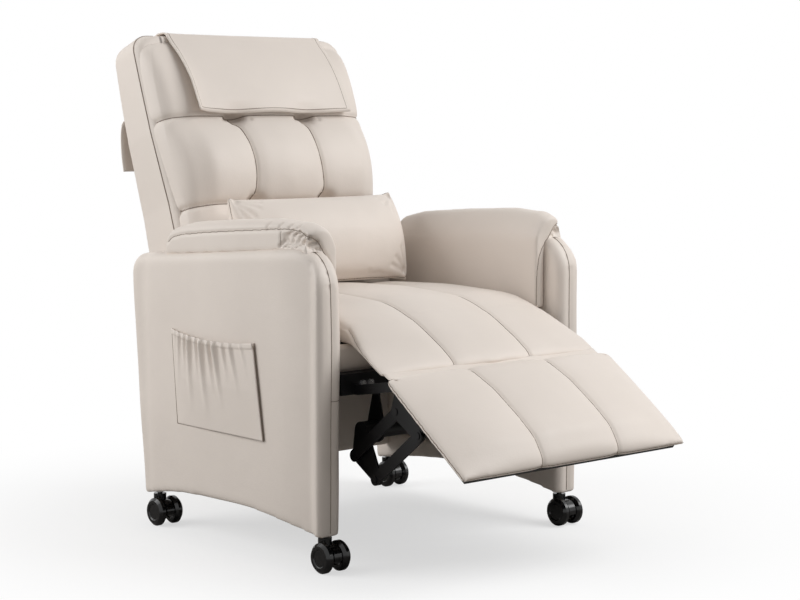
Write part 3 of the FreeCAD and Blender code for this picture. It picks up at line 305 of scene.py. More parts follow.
both_sides = (("right", -1), ("left", 1))
arm_middle, arm_half = 0.303, 0.030
arm_front, arm_rear_foot, arm_rear_top = -0.281, 0.2765, 0.3025
arm_foot, arm_arch, arm_front_head, arm_rear_head = 0.0613, 0.027, 0.579, 0.536
front_corner, rear_corner, arm_edge = 0.075, 0.038, 0.028
window_middle, window_size = (0.2735, 0, 0.2275), (0.031, 0.434, 0.209)
caster_x, caster_y, socket_radius = 0.298, 0.261, 0.0095
nose_line = ((-0.279, 0.069), (-0.279, 0.20), (-0.279, 0.36), (-0.278, 0.49), (-0.266, 0.535),
             (-0.243, 0.561), (-0.212, 0.574))
nose_turn = (-0.204, 0.498)
for side, sign in both_sides:
    arm = new_block(f"arm_cover_{side}")
    for vertex in arm.data.vertices:
        across, along, up = (c > 0 for c in vertex.co)
        y = (arm_rear_top if up else arm_rear_foot) if along else arm_front
        z = (arm_rear_head if along else arm_front_head) if up else arm_foot
        vertex.co = (sign * arm_middle + (arm_half if across else -arm_half), y, z)
    for end, radius in ((arm_front, front_corner), (arm_rear_top, rear_corner)):
        round_edges(arm, lambda a, b: min(a.z, b.z) > 0.5
                    and max(abs(a.y - end), abs(b.y - end)) < 0.001, radius, segments=10)
    pick_edges(arm, lambda a, b: max(a.z, b.z) < 0.07 and abs(a.y - b.y) > 0.3)
    bpy.ops.mesh.subdivide(number_cuts=31)
    bpy.ops.object.mode_set(mode="OBJECT")
    for vertex in arm.data.vertices:
        if vertex.co.z < arm_foot + 0.001:
            share = (vertex.co.y - arm_front) / (arm_rear_foot - arm_front)
            vertex.co.z += arm_arch * 4 * share * (1 - share)
    round_edges(arm, lambda a, b: abs(a.x - b.x) < 0.001
                and not (max(a.z, b.z) < 0.10 and abs(a.z - b.z) < 0.02),
                arm_edge, segments=10, clamp=True)
    # The dust cloth's window in the inner face and the two caster sockets in the foot.
    window = new_block("window")
    window.location = mirrored([window_middle], sign)[0]
    window.scale = window_size
    cutters = [window]
    for end in (-caster_y, caster_y):
        bpy.ops.mesh.primitive_cylinder_add(radius=socket_radius, depth=0.11,
                                            location=(sign * caster_x, end, 0.055))
        cutters.append(bpy.context.object)
    cut_away(arm, cutters)
    even_mesh(arm, voxel=0.005, smooth=6)
    # The turned edge of the arched foot is eased further.
    foot_edge = arm.vertex_groups.new(name="foot_edge")
    low_points = [v.index for v in arm.data.vertices if v.co.z < 0.108 and abs(v.co.y) < 0.235]
    foot_edge.add(low_points, 1.0, "ADD")
    ease = arm.modifiers.new("ease_foot", "SMOOTH")
    ease.vertex_group = "foot_edge"
    ease.iterations = 9
    apply_all(arm)
    # The cover is drawn in towards the nose and the rear, so the outside rounds over slowly.
    points, _ = skin(arm)
    from_front, from_rear = points[:, 1] - arm_front, arm_rear_foot + 0.01 - points[:, 1]
    off_frame = np.clip((from_front - 0.004) / 0.022, 0.1, 1)
    drawn = 0.48 * np.clip(1 - from_front / 0.10, 0, 1) ** 1.6 * off_frame
    drawn += 0.15 * np.exp(-((from_rear - 0.028) / 0.020) ** 2)
    outer_half = np.maximum(sign * points[:, 0] - arm_middle, 0)
    points[:, 0] -= sign * outer_half * drawn
    # The foam swells the front and rear edges into a slow bow.
    bow = np.exp(-((points[:, 2] - 0.42) / 0.16) ** 2)
    points[:, 1] += bow * (0.007 * np.clip((points[:, 1] - 0.2) / 0.08, 0, 1)
                           - 0.003 * np.clip((-0.2 - points[:, 1]) / 0.08, 0, 1))
    set_points(arm, points)
    slacken(arm, size=0.16, amount=0.0022)
    nose = sign * (arm_middle - 0.003)
    sew(arm, f"arm_nose_seam_{side}", "base", [(nose, y, z) for y, z in nose_line],
        depth=0.0022, width=0.0035)
    nose_join = [(nose - sign * x, y, 0.306)
                 for x, y in ((0, -0.279), (0.012, -0.275), (0.026, -0.262))]
    sew(arm, f"arm_nose_join_{side}", "base", nose_join, depth=0.0012, width=0.003,
        radius=0.0006)
    # Small tucks where the cover is eased round the top of the nose.
    for angle in (0.15, 0.45, 0.75, 1.05, 1.3):
        y = nose_turn[0] - front_corner * math.cos(angle)
        z = nose_turn[1] + front_corner * math.sin(angle)
        furrow(arm, [(nose, y, z), (nose + sign * 0.012, y + 0.010, z - 0.004)],
               depth=0.0011, width=0.0028)
    dress(arm, "base", leather, "leather", f"arm_shell_{side}")

# Arm pads: boxed foam cushions sewn over the top and down the inside of each arm, with a narrow
# border all round and pleats where the border turns down at the front.


def filling_of(node, name, voxel, smooth):
    """A soft piece in the form of its CAD solid, remeshed evenly."""
    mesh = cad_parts[node].data.copy()
    piece = bpy.data.objects.new(name, mesh)
    bpy.context.scene.collection.objects.link(piece)
    only(piece)
    bpy.ops.object.mode_set(mode="EDIT")
    bpy.ops.mesh.select_all(action="SELECT")
    bpy.ops.mesh.remove_doubles(threshold=0.00005)
    bpy.ops.object.mode_set(mode="OBJECT")
    even_mesh(piece, voxel, smooth)
    return piece


def stuff(piece, pressure, cap, shrink):
    """Fills a cover with Cloth pressure and lets no point move further than cap metres."""
    start, normals = skin(piece)
    set_points(piece, start - normals * shrink)
    cloth = piece.modifiers.new("filling", "CLOTH")
    cloth.settings.use_pressure = True
    cloth.settings.uniform_pressure_force = pressure
    cloth.settings.effector_weights.gravity = 0
    cloth.settings.quality = 4
    cloth.point_cache.frame_end = 20
    for step in range(1, 21):
        bpy.context.scene.frame_set(step)
    apply_all(piece)
    bpy.context.scene.frame_set(1)
    shift = skin(piece)[0] - start
    length = np.maximum(np.linalg.norm(shift, axis=1), 1e-9)
    set_points(piece, start + shift * np.minimum(1, cap / length)[:, None])


def refine(piece):
    """Divides each face of a piece once, rounding it."""
    divide = piece.modifiers.new("fine", "SUBSURF")
    divide.levels = 1
    divide.render_levels = 1
    apply_all(piece)


def arm_top(y):
    """Height of an arm's top line."""
    return arm_front_head - 0.043 * (y - arm_front) / 0.58


pad_side = ((0.188, 0.020), (0.170, 0.030), (0.128, 0.034), (0.001, 0.036), (-0.085, 0.036),
            (-0.15, 0.037), (-0.195, 0.036), (-0.217, 0.033))
pad_front = ((0.319, -0.231, 0.599), (0.305, -0.243, 0.588), (0.283, -0.249, 0.567),
             (0.260, -0.248, 0.530), (0.252, -0.244, 0.48), (0.252, -0.242, 0.435))
pad_tucked = ((0.325, -0.182, 0.591), (0.323, -0.203, 0.591), (0.317, -0.222, 0.588),
              (0.305, -0.235, 0.580))
pad_pleats = (((0.3245, -0.166, 0.575), (0.3225, -0.199, 0.605), 0.0050),
              ((0.3245, -0.178, 0.576), (0.3215, -0.217, 0.604), 0.0066),
              ((0.3230, -0.191, 0.577), (0.3180, -0.230, 0.598), 0.0056),
              ((0.3210, -0.203, 0.576), (0.3110, -0.239, 0.592), 0.0066),
              ((0.3180, -0.213, 0.574), (0.3000, -0.246, 0.583), 0.0052),
              ((0.3130, -0.222, 0.571), (0.2880, -0.249, 0.572), 0.0046))
for side, sign in both_sides:
    pad = filling_of(f"arm_pad_{side}", f"arm_pad_cover_{side}", voxel=0.004, smooth=10)
    refine(pad)
    # The top of the front stands out a little as a lip.
    points, _ = skin(pad)
    lip = np.exp(-((points - (sign * 0.285, -0.238, 0.594)) ** 2).sum(1) / 0.028 ** 2)
    set_points(pad, points + lip[:, None] * np.array((0, -0.006, 0.007)))
    # The border draws in under the top panel towards the front.
    furrow(pad, mirrored(pad_tucked, sign), depth=0.0085, width=0.011)
    guide = [*((0.325, y, arm_top(y) + rise) for y, rise in pad_side), *pad_front]
    sew(pad, f"arm_pad_seam_{side}", "base", mirrored(guide, sign), depth=0.0026, width=0.0035)
    guide = [(0.3245, -0.168, arm_top(-0.168) + rise) for rise in (0.006, 0.018, 0.034)]
    sew(pad, f"arm_pad_join_{side}", "base", mirrored(guide, sign),
        depth=0.0014, width=0.003, radius=0.0004)
    # Slanting pleats of the border, and the puckers that they leave in the edge of the top panel.
    for foot, head, depth in pad_pleats:
        pleat = [Vector(foot).lerp(Vector(head), share) for share in (0, 0.5, 1)]
        furrow(pad, mirrored(pleat, sign), depth, width=0.0032)
    for y in (-0.125, -0.160, -0.186, -0.208):
        pucker = ((0.3225, y, arm_top(y) + 0.038), (0.314, y - 0.002, arm_top(y) + 0.050))
        furrow(pad, mirrored(pucker, sign), depth=0.0032, width=0.0030)
    dress(pad, "base", leather, "leather", f"arm_pad_{side}")

# Side pocket: one piece of the same leather, sewn to the outside of the right arm on three edges and
# gathered on an elastic hem, so folds fan down from its mouth.
pocket_corners = {"mouth_rear": (0.159, 0.401), "mouth_front": (-0.103, 0.396),
                  "foot_front": (-0.131, 0.220), "foot_rear": (0.143, 0.219)}
# Each gather has its place along the mouth, how far down it reaches, its width and its strength.
gathers = ((0.06, 0.35, 0.013, 0.6), (0.12, 0.60, 0.014, 0.9), (0.19, 0.45, 0.012, 0.8),
           (0.26, 0.85, 0.016, 1.0), (0.34, 0.50, 0.012, 0.7), (0.41, 0.90, 0.017, 1.0),
           (0.50, 0.60, 0.013, 0.9), (0.57, 0.75, 0.015, 1.0), (0.66, 0.45, 0.013, 0.7),
           (0.75, 0.60, 0.016, 0.8), (0.87, 0.40, 0.014, 0.5))
pocket_face, pocket_seam_face = -0.3335, -0.3343


def new_grid(name, columns, rows):
    """A flat grid of unit size about the origin, to be shaped point by point."""
    bpy.ops.object.select_all(action="DESELECT")
    bpy.ops.mesh.primitive_grid_add(x_subdivisions=columns, y_subdivisions=rows, size=1)
    bpy.context.object.name = name
    return bpy.context.object


def thicken(piece, thickness):
    """Gives a sheet the thickness of its hide."""
    hide = piece.modifiers.new("hide", "SOLIDIFY")
    hide.thickness = thickness
    hide.offset = 0
    apply_all(piece)


pocket = new_grid("side_pocket_cover", 130, 80)
for vertex in pocket.data.vertices:
    across, up = vertex.co.x + 0.5, vertex.co.y + 0.5
    rear = Vector(pocket_corners["foot_rear"]).lerp(Vector(pocket_corners["mouth_rear"]), up)
    front = Vector(pocket_corners["foot_front"]).lerp(Vector(pocket_corners["mouth_front"]), up)
    spot = rear.lerp(front, across)
    middle = 4 * across * (1 - across)
    spot.y -= 0.009 * middle * up ** 3
    bulge = 0.0080 * middle ** 0.6 * min(1, 0.25 + 1.5 * up) * (1 - 0.25 * up ** 6)
    fold = 0.0
    eased = 1 - 0.6 * max(0.0, (up - 0.93) / 0.07)
    for at, reach, width, strength in gathers:
        drift = (at - 0.5) * 0.30 * (1 - up)
        height = strength * max(0.0, 1 - (1 - up) / reach) ** 1.2 * eased
        fold += height * math.exp(-((across - at - drift) / (width + 0.020 * (1 - up))) ** 2)
    hem = 0.0018 if up > 0.94 else 0.0
    out = bulge + 0.0125 * fold * middle ** 0.5 + hem + 0.0035 * across ** 8
    vertex.co = (pocket_face - out, spot.x, spot.y)
thicken(pocket, 0.0018)
dress(pocket, "base", leather, "leather", "side_pocket")
border = [pocket_corners[name] for name in ("mouth_rear", "foot_rear", "foot_front", "mouth_front")]
for index, (start, end) in enumerate(zip(border, border[1:])):
    line = [(pocket_seam_face, *Vector(start).lerp(Vector(end), share))
            for share in np.linspace(0, 1, 20)]
    dress(lay_thread(f"pocket_seam_{index}", line, radius=0.0010), "base", thread, "leather")

# Dust cloths: black non-woven polypropylene stapled inside each arm. Its pressed fibres give a faint
# felted mottle and no sheen.
dust_cloth, tree, shader, place = new_material("nonwoven_cloth_black")
fibre = mottle(tree, place, size=0.003, detail=5.0)
two_tones(tree, shader, fibre, "141414", "2A2928")
emboss(tree, shader, fibre, strength=0.3, distance=0.0005)
shader.inputs["Roughness"].default_value = 0.9


def paint(material, *nodes):
    """Gives CAD nodes their material."""
    for node in nodes:
        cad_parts[node].data.materials.clear()
        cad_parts[node].data.materials.append(material)


sides = ("right", "left")
paint(dust_cloth, *(f"arm_dust_cloth_{side}" for side in sides), "seat_straps")

# Frames: birch plywood, sawn and left raw. Long grain lines and a paler ply show where it is cut.


def sawn_wood(name, sizes, dark, light, roughness):
    """Sawn wood, its figure drawn out along the grain: sizes are its metres along X, Y and Z."""
    material, tree, shader, place = new_material(name)
    stretch = add_node(tree, "ShaderNodeMapping", [("Vector", place, "Object")])
    stretch.inputs["Scale"].default_value = [1 / size for size in sizes]
    figure = add_node(tree, "ShaderNodeTexNoise", [("Vector", stretch, "Vector")], Scale=1.0,
                      Detail=4.0)
    two_tones(tree, shader, figure, dark, light)
    emboss(tree, shader, figure, strength=0.2, distance=0.0004)
    shader.inputs["Roughness"].default_value = roughness
    return material


plywood = sawn_wood("birch_plywood_raw", (0.004, 0.08, 0.08), "B8966A", "D8BC92",
                    roughness=0.7)
paint(plywood, *(f"arm_frame_{side}" for side in sides), "seat_frame", "back_frame")

# Steel frame, linkage and hinges: cut and welded mild steel, powder coated black. The baked powder
# leaves a fine orange peel of about 2 mm under a satin gloss.
powder_coat, tree, shader, place = new_material("powder_coated_steel_black")
worn = mottle(tree, place, size=0.05, detail=4.0)
two_tones(tree, shader, worn, "09090A", "141416")
emboss(tree, shader, mottle(tree, place, size=0.002), strength=0.15, distance=0.0004)
uneven_gloss(tree, shader, worn, low=0.30, high=0.46)
shader.inputs["Specular IOR Level"].default_value = 0.3
paint(powder_coat, "front_crossbar", "rear_crossbar", "drive_tube",
      "fold_pins", "bracket_pins", "crank_pins",
      *(f"{piece}_{side}" for side in sides for piece in
        ("side_plate", "seat_hinge_plate", "footrest_bracket", "front_link", "rear_link", "crank",
         "tube_hanger", "back_bracket", "recline_plate")))

# Bolts, recline pins and caster sockets: bright zinc plate on turned steel, faintly streaked.
zinc, tree, shader, place = new_material("zinc_plated_steel")
streak = mottle(tree, place, size=0.006, detail=3.0)
two_tones(tree, shader, streak, "C4C6C8", "E2E3E4")
shader.inputs["Metallic"].default_value = 0.75
uneven_gloss(tree, shader, streak, low=0.18, high=0.32)
paint(zinc, "crossbar_bolts", "recline_pins", "caster_sockets")

# Casters, control box and motor housings: moulded black nylon. It is glossy, with a slow unevenness
# from the mould and a fine haze where it has been handled.
nylon, tree, shader, place = new_material("moulded_nylon_black")
flow = mottle(tree, place, size=0.015, detail=4.0)
two_tones(tree, shader, flow, "060607", "101011")
uneven_gloss(tree, shader, flow, low=0.12, high=0.24)
emboss(tree, shader, flow, strength=0.08, distance=0.0006)
paint(nylon, "control_box", "massage_motors",
      *(f"caster_{part}_{end}_{side}" for part in ("hood", "wheels") for end in ("front", "rear")
        for side in sides))

# Seat: a boxed foam cushion under three panels of leather, with two seams from back to front, that
# widens in front of the arms to meet the footrest.
seat = filling_of("seat_cushion", "seat_cover", voxel=0.005, smooth=70)
# The bends of the top are eased into one curve over the front.
points, normals = skin(seat)
for bend, reach, drop in ((-0.254, 0.065, 0.0044), (-0.362, 0.03, 0.0012)):
    near = np.clip(1 - np.abs(points[:, 1] - bend) / reach, 0, 1) ** 2
    points[:, 2] -= drop * near * (normals[:, 2] > 0.3)
set_points(seat, points)
refine(seat)
downward = Vector((0, 0, -1))
panel_seam_x = 0.095
seat_seam = ((0.15, 0.47), (0.10, 0.475), (-0.05, 0.480), (-0.18, 0.472), (-0.254, 0.455),
             (-0.318, 0.42), (-0.362, 0.39), (-0.391, 0.361))
seat_border = ((0.250, -0.262, 0.434), (0.262, -0.29, 0.420), (0.272, -0.32, 0.399),
               (0.278, -0.355, 0.374), (0.280, -0.388, 0.357))
for side, sign in both_sides:
    guide = [(sign * panel_seam_x, y, z) for y, z in seat_seam]
    furrow(seat, guide, depth=0.0020, width=0.018, toward=downward)
    sew(seat, f"seat_seam_{side}", "base", guide, depth=0.0026, width=0.0045, radius=0.0006,
        toward=downward)
    sew(seat, f"seat_border_seam_{side}", "base", mirrored(seat_border, sign),
        depth=0.0020, width=0.0035, radius=0.0004)
dress(seat, "base", leather, "leather", "seat_cushion")

# Panel over the front rail of the seat: the same leather over a little foam, stapled under the rail.


def padded_panel(name, low, high, radius):
    """A leather panel over thin foam: a block with all its edges rounded, slightly slack."""
    panel = new_block(name)
    for vertex in panel.data.vertices:
        vertex.co = [h if c > 0 else l for c, l, h in zip(vertex.co, low, high)]
    round_edges(panel, lambda a, b: True, radius, segments=5)
    even_mesh(panel, voxel=0.004, smooth=3)
    slacken(panel, size=0.07, amount=0.0012)
    return panel


front_panel = padded_panel("seat_front_panel_cover", (-0.262, -0.256, 0.3515),
                           (0.262, -0.236, 0.400), radius=0.006)
dress(front_panel, "base", leather, "leather", "seat_front_panel")

# Rear skirt: a panel of the same make between the arms, under the back.
rear_panel = padded_panel("rear_skirt_cover", (-0.2725, 0.2245, 0.0965),
                          (0.2725, 0.2378, 0.3115), radius=0.005)
dress(rear_panel, "base", leather, "leather", "rear_skirt")

# Footrest: the same three panels over foam on a board stained black, with a border seam round its
# front and sides.
footrest = filling_of("footrest_cushion", "footrest_cover", voxel=0.005, smooth=24)
refine(footrest)
slope = math.radians(36.5)


def on_footrest(x, along, above):
    """A point by its distance along the footrest's slope and square above it, from the fold hinge."""
    return Vector((x, -0.395 - along * math.cos(slope) - above * math.sin(slope),
                   0.340 - along * math.sin(slope) + above * math.cos(slope)))


into_footrest = on_footrest(0, 0, -1) - on_footrest(0, 0, 0)
footrest_seam = ((-0.007, 0.026), (0.013, 0.038), (0.075, 0.05), (0.146, 0.053), (0.198, 0.052),
                 (0.232, 0.04), (0.246, 0.022))
for side, sign in both_sides:
    guide = [on_footrest(sign * panel_seam_x, along, above) for along, above in footrest_seam]
    furrow(footrest, guide, depth=0.0020, width=0.016, toward=into_footrest)
    sew(footrest, f"footrest_seam_{side}", "footrest", guide, depth=0.0026, width=0.0045,
        radius=0.0006, toward=into_footrest)
half_round = ((0.281, 0.0), (0.281, 0.10), (0.281, 0.20), (0.279, 0.238), (0.268, 0.246),
              (0.15, 0.247))
around = [*((-x, along) for x, along in half_round), (0.0, 0.247), *half_round[::-1]]
sew(footrest, "footrest_border_seam", "footrest",
    [on_footrest(x, along, 0.017) for x, along in around], depth=0.0022, width=0.0032)
dress(footrest, "footrest", leather, "leather", "footrest_cushion")

stained = sawn_wood("plywood_stained_black", (0.08, 0.004, 0.004), "121110", "24211F",
                    roughness=0.6)
paint(stained, "footrest_board")

# Fold gusset: a strip of leather sewn between the seat and the footrest, sunk in the crease.
gusset = new_grid("fold_gusset", 60, 14)
gusset_half = 0.264
fold_line = through([Vector((y, z, 0)) for y, z in
                     ((-0.3800, 0.3640), (-0.3870, 0.3590), (-0.3930, 0.3560), (-0.3970, 0.3545),
                      (-0.4010, 0.3555), (-0.4070, 0.3570), (-0.4150, 0.3560))], step=0.0025)
for vertex in gusset.data.vertices:
    across, along = vertex.co.x * 2, vertex.co.y + 0.5
    spot = fold_line[round(along * (len(fold_line) - 1))]
    vertex.co = (gusset_half * across, spot.x, spot.y - 0.0008)
thicken(gusset, 0.0014)
gusset.data.materials.append(leather)
only(gusset)
bpy.ops.object.shade_smooth()
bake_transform(gusset)

# Back: a foam cushion in three sewn rows. The middle row is three puffed panels, drawn in deep at
# the tufts where the rows and the upright seams meet.
lean = math.radians(19.3)


def on_back(x, up, behind):
    """A point by its distance up the back and square behind it, from the recline hinge."""
    return Vector((x, 0.245 + up * math.sin(lean) + behind * math.cos(lean),
                   0.380 + up * math.cos(lean) - behind * math.sin(lean)))


back_hinge = np.array(on_back(0, 0, 0))
up_back = np.array(on_back(0, 1, 0)) - back_hinge
behind_back = np.array(on_back(0, 0, 1)) - back_hinge


def broaden(piece, fullness):
    """Widens the back above the arm pads, and fills its front out towards the sides."""
    points, _ = skin(piece)
    up = (points - back_hinge) @ up_back
    depth = (points - back_hinge) @ behind_back
    in_front = np.clip((-0.035 - depth) / 0.03, 0, 1)
    flank = np.exp(-((np.abs(points[:, 0]) - 0.243) / 0.035) ** 2) * in_front
    points -= behind_back[None] * (fullness * flank)[:, None]
    points[:, 0] *= 1 + (0.035 + 0.7 * fullness) * np.clip((up - 0.25) / 0.15, 0, 1)
    set_points(piece, points)


back = filling_of("back_cushion", "back_cover", voxel=0.005, smooth=70)
stuff(back, pressure=3.0, cap=0.004, shrink=0.0)
refine(back)
broaden(back, fullness=0.018)
tuft_x, low_row, high_row = 0.090, 0.228, 0.414
seam_depth = -0.10
into_back = on_back(0, 0, 1) - on_back(0, 0, 0)
half_row = [*((x, seam_depth) for x in (0, 0.04, tuft_x, 0.13, 0.19, 0.235)),
            (0.250, -0.085), (0.259, -0.070), (0.269, -0.050)]
row_places = [*((-x, behind) for x, behind in half_row[:0:-1]), *half_row]
row_seams = {name: [on_back(x, up, behind) for x, behind in row_places]
             for name, up in (("high", high_row), ("low", low_row))}
upright_seams = {side: [on_back(sign * (tuft_x - 0.006 * math.sin(math.pi * share)),
                                low_row + (high_row - low_row) * share, seam_depth)
                        for share in np.linspace(0, 1, 7)] for side, sign in both_sides}
tufts = [(sign * tuft_x, up) for up in (low_row, high_row) for sign in (-1, 1)]
for guide in upright_seams.values():
    furrow(back, guide, depth=0.0045, width=0.018, toward=into_back)
side_step = Vector((0.003, 0, 0))
for x, up in tufts:
    spot = on_back(x, up, seam_depth)
    furrow(back, [spot - side_step, spot + side_step], depth=0.019, width=0.016, toward=into_back)
for name, guide in row_seams.items():
    furrow(back, guide, depth=0.0025, width=0.010, toward=into_back)
    sew(back, f"back_row_seam_{name}", "back", guide, depth=0.0030, width=0.0045, radius=0.0010,
        toward=into_back)
for side, guide in upright_seams.items():
    sew(back, f"back_upright_seam_{side}", "back", guide, depth=0.0035, width=0.0045, radius=0.0010,
        toward=into_back)
# Folds that fan up and out of the two upper tufts.
for x, up in tufts[2:]:
    for angle in (-12, 40, 140, 192):
        ray = Vector((math.cos(math.radians(angle)), math.sin(math.radians(angle))))
        guide = [on_back(x + ray.x * far, up + ray.y * far, seam_depth)
                 for far in (0.004, 0.018, 0.034)]
        furrow(back, guide, depth=0.0040, width=0.0060, toward=into_back)
dress(back, "back", leather, "leather", "back_cushion")

# Tuft buttons: small leather-covered buttons pulled down into the tufts on twine.
buttons = []
for x, up in tufts:
    bed = on_skin(back, on_back(x, up, seam_depth), toward=into_back)
    bpy.ops.object.select_all(action="DESELECT")
    bpy.ops.mesh.primitive_uv_sphere_add(segments=24, ring_count=12, radius=0.0075)
    button = bpy.context.object
    for vertex in button.data.vertices:
        across, along, out = vertex.co.x, vertex.co.y, 0.42 * vertex.co.z
        vertex.co = bed + on_back(across, along, -out) - on_back(0, 0, 0)
    buttons.append(button)
for button in buttons:
    button.select_set(True)
bpy.context.view_layer.objects.active = buttons[0]
bpy.ops.object.join()
buttons[0].name = "tuft_button_covers"
dress(buttons[0], "back", leather, "leather", "tuft_buttons")

# Outside cover of the back: one boxed cover over the frame, from the seam round the front cushion to
# the rear, open at the foot round the recline hinges.


def back_rear(up):
    """How far behind the hinge the outside of the back lies."""
    return 0.086 - 0.044 * up / 0.603


def on_back_block(name, half, ups, behinds):
    """A block between two heights up the back and two depths; None is the rear's own depth."""
    piece = new_block(name)
    for vertex in piece.data.vertices:
        across, depth, height = (c > 0 for c in vertex.co)
        up = ups[height]
        behind = behinds[depth]
        if behind is None:
            behind = back_rear(up)
        vertex.co = on_back(half if across else -half, up, behind)
    return piece


cover_foot, cover_top = -0.030, 0.6035
outside = on_back_block("back_outside_cover", 0.2545, (cover_foot, cover_top), (-0.064, None))
rear_foot = on_back(0, cover_foot, back_rear(cover_foot))
rear_line = (on_back(0, cover_top, back_rear(cover_top)) - rear_foot).normalized()


def at_rear(point):
    """Whether a point lies on the rear face of the cover."""
    reach = Vector((0, point.y, point.z)) - rear_foot
    return (reach - rear_line * reach.dot(rear_line)).length < 0.002


def at_top(point):
    """Whether a point lies at the top of the cover."""
    return (point - on_back(0, 0, 0)).dot(rear_line) > 0.58


round_edges(outside, lambda a, b: abs(a.x - b.x) < 0.001 and at_top(a) and at_top(b),
            radius=0.034, segments=8)
round_edges(outside, lambda a, b: at_rear(a) and at_rear(b) and max(a.z, b.z) > 0.6,
            radius=0.028, segments=8)
cut_away(outside, [on_back_block("hinge_room", 0.30, (-0.06, 0.020), (-0.08, 0.030))])
even_mesh(outside, voxel=0.005, smooth=8)
slacken(outside, size=0.15, amount=0.0016)
# The front edge of the cover dips under the skin of the cushion, where the two are sewn together.
points, _ = skin(outside)
dip = np.clip((-0.044 - (points - back_hinge) @ behind_back) / 0.018, 0, 1)
points[:, 0] -= np.sign(points[:, 0]) * 0.006 * dip * (np.abs(points[:, 0]) > 0.2)
high_up = np.clip(((points - back_hinge) @ up_back - 0.54) / 0.05, 0, 1)
points -= up_back[None] * (0.006 * dip * high_up)[:, None]
set_points(outside, points)
broaden(outside, fullness=0.0)
# The side seam lies on whichever of the two covers stands out further.
side_seam_depth = -0.047
side_seam = ((0.254, 0.03), (0.254, 0.12), (0.254, 0.217), (0.258, 0.31), (0.263, 0.403),
             (0.263, 0.50), (0.263, 0.56), (0.256, 0.588), (0.235, 0.603), (0.21, 0.605))
for side, sign in both_sides:
    path = []
    for point in through([on_back(sign * x, up, side_seam_depth) for x, up in side_seam]):
        height = min(0.5, (point - on_back(0, 0, 0)).dot(on_back(0, 1, 0) - on_back(0, 0, 0)))
        toward = (on_back(sign * 0.15, height, side_seam_depth) - point).normalized()
        touches = [on_skin(piece, point, lift=0.0003, toward=toward) for piece in (back, outside)]
        path.append(min(touches, key=lambda touch: (touch - point + toward * cast_from).length))
    dress(lay_thread(f"back_side_seam_{side}", path, radius=0.0010), "back", thread, "leather")
    rear = [on_back(sign * 0.249, up, back_rear(up) - 0.004) for up in np.linspace(0.0, 0.57, 8)]
    sew(outside, f"back_rear_seam_{side}", "back", rear, depth=0.0016, width=0.003)
dress(outside, "back", leather, "leather", "back_outside_panel")

# Head cover: a loose leather flap over the top of the back, hemmed all round and topstitched, so its
# free edges stand a little off the cushion.
profile = through([Vector((up, behind, 0)) for up, behind in
                   ((0.420, -0.150), (0.47, -0.150), (0.52, -0.140), (0.56, -0.115), (0.59, -0.085),
                    (0.613, -0.05), (0.619, 0.0), (0.613, 0.035), (0.595, 0.062), (0.56, 0.068),
                    (0.513, 0.072))], step=0.006)
columns, rows = 96, len(profile)
cover_half, cover_middle, cover_gap = 0.197, 0.005, 0.003
grid = np.empty((rows, columns + 1, 3))
bpy.context.view_layer.update()
for row, spot in enumerate(profile):
    for column in range(columns + 1):
        x = cover_middle + cover_half * (2 * column / columns - 1)
        aim = on_back(x, spot.x, spot.y)
        if spot.y < -0.10:
            grid[row, column] = on_skin(back, aim, cover_gap, into_back)
        else:
            touches = [on_skin(piece, aim, cover_gap) for piece in (back, outside)]
            grid[row, column] = min(touches, key=lambda touch: (touch - aim).length)


def ease_across(grid, times):
    """Evens a grid of points out along its rows, with both ends held."""
    for _ in range(times):
        grid[:, 1:-1] = (grid[:, :-2] + 2 * grid[:, 1:-1] + grid[:, 2:]) / 4


ease_across(grid, 150)
ease_across(grid.transpose(1, 0, 2), 10)
for cell in np.ndindex(rows, columns + 1):
    for piece in (back, outside):
        _, where, normal, _ = piece.closest_point_on_mesh(Vector(grid[cell]))
        sunk = cover_gap - (Vector(grid[cell]) - where).dot(normal)
        if 0 < sunk < 0.03:
            grid[cell] += normal * sunk
ease_across(grid, 60)
# Its lower hem and its side edges lift off the cushion, most of all at the front.
across = np.linspace(0, 1, columns + 1)[None, :] * np.ones((rows, 1))
along = np.linspace(0, 1, rows)[:, None] * np.ones((1, columns + 1))
front_share = np.clip((0.45 - along) / 0.3, 0.15, 1)
lift = 0.0015 + 0.008 * np.exp(-along / 0.06)
lift += front_share * (0.016 * np.exp(-across / 0.04) + 0.005 * np.exp(-(1 - across) / 0.05))
angle = math.pi * np.clip((along - 0.35) / 0.3, 0, 1)
off_front = np.array(on_back(0, 0, -1) - on_back(0, 0, 0))
off_top = np.array(on_back(0, 1, 0) - on_back(0, 0, 0))
outward = off_front * np.cos(angle)[..., None] + off_top * np.sin(angle)[..., None]
grid += outward * lift[..., None]
head_cover = new_grid("head_cover_flap", columns, rows - 1)
for vertex in head_cover.data.vertices:
    column, row = round((vertex.co.x + 0.5) * columns), round((vertex.co.y + 0.5) * (rows - 1))
    vertex.co = grid[row, column]
thicken(head_cover, 0.0026)
hem_stitch = [*(grid[row, 2] for row in range(rows - 1, 1, -1)),
              *(grid[1, column] for column in range(2, columns - 1)),
              *(grid[row, columns - 2] for row in range(1, rows))]
topstitch = lay_thread("head_cover_topstitch", hem_stitch, radius=0.0016)
dress(topstitch, "back", thread, "leather")
dress(head_cover, "back", leather, "leather", "head_cover")

# Rear flap: the free lower edge of the outside cover, standing off the back.
rear_flap = new_grid("rear_flap_cover", 60, 20)
flap_half, flap_top, flap_drop = 0.252, 0.456, 0.095
for vertex in rear_flap.data.vertices:
    x, down = vertex.co.x * 2 * flap_half, 0.5 - vertex.co.y
    up = flap_top - flap_drop * down
    stand = 0.0015 + 0.028 * math.sin(down * math.pi / 2) ** 0.5 + 0.0012 * math.sin(x * 31)
    vertex.co = on_back(x, up, back_rear(up) + stand)
thicken(rear_flap, 0.0028)
dress(rear_flap, "back", leather, "leather", "rear_flap")

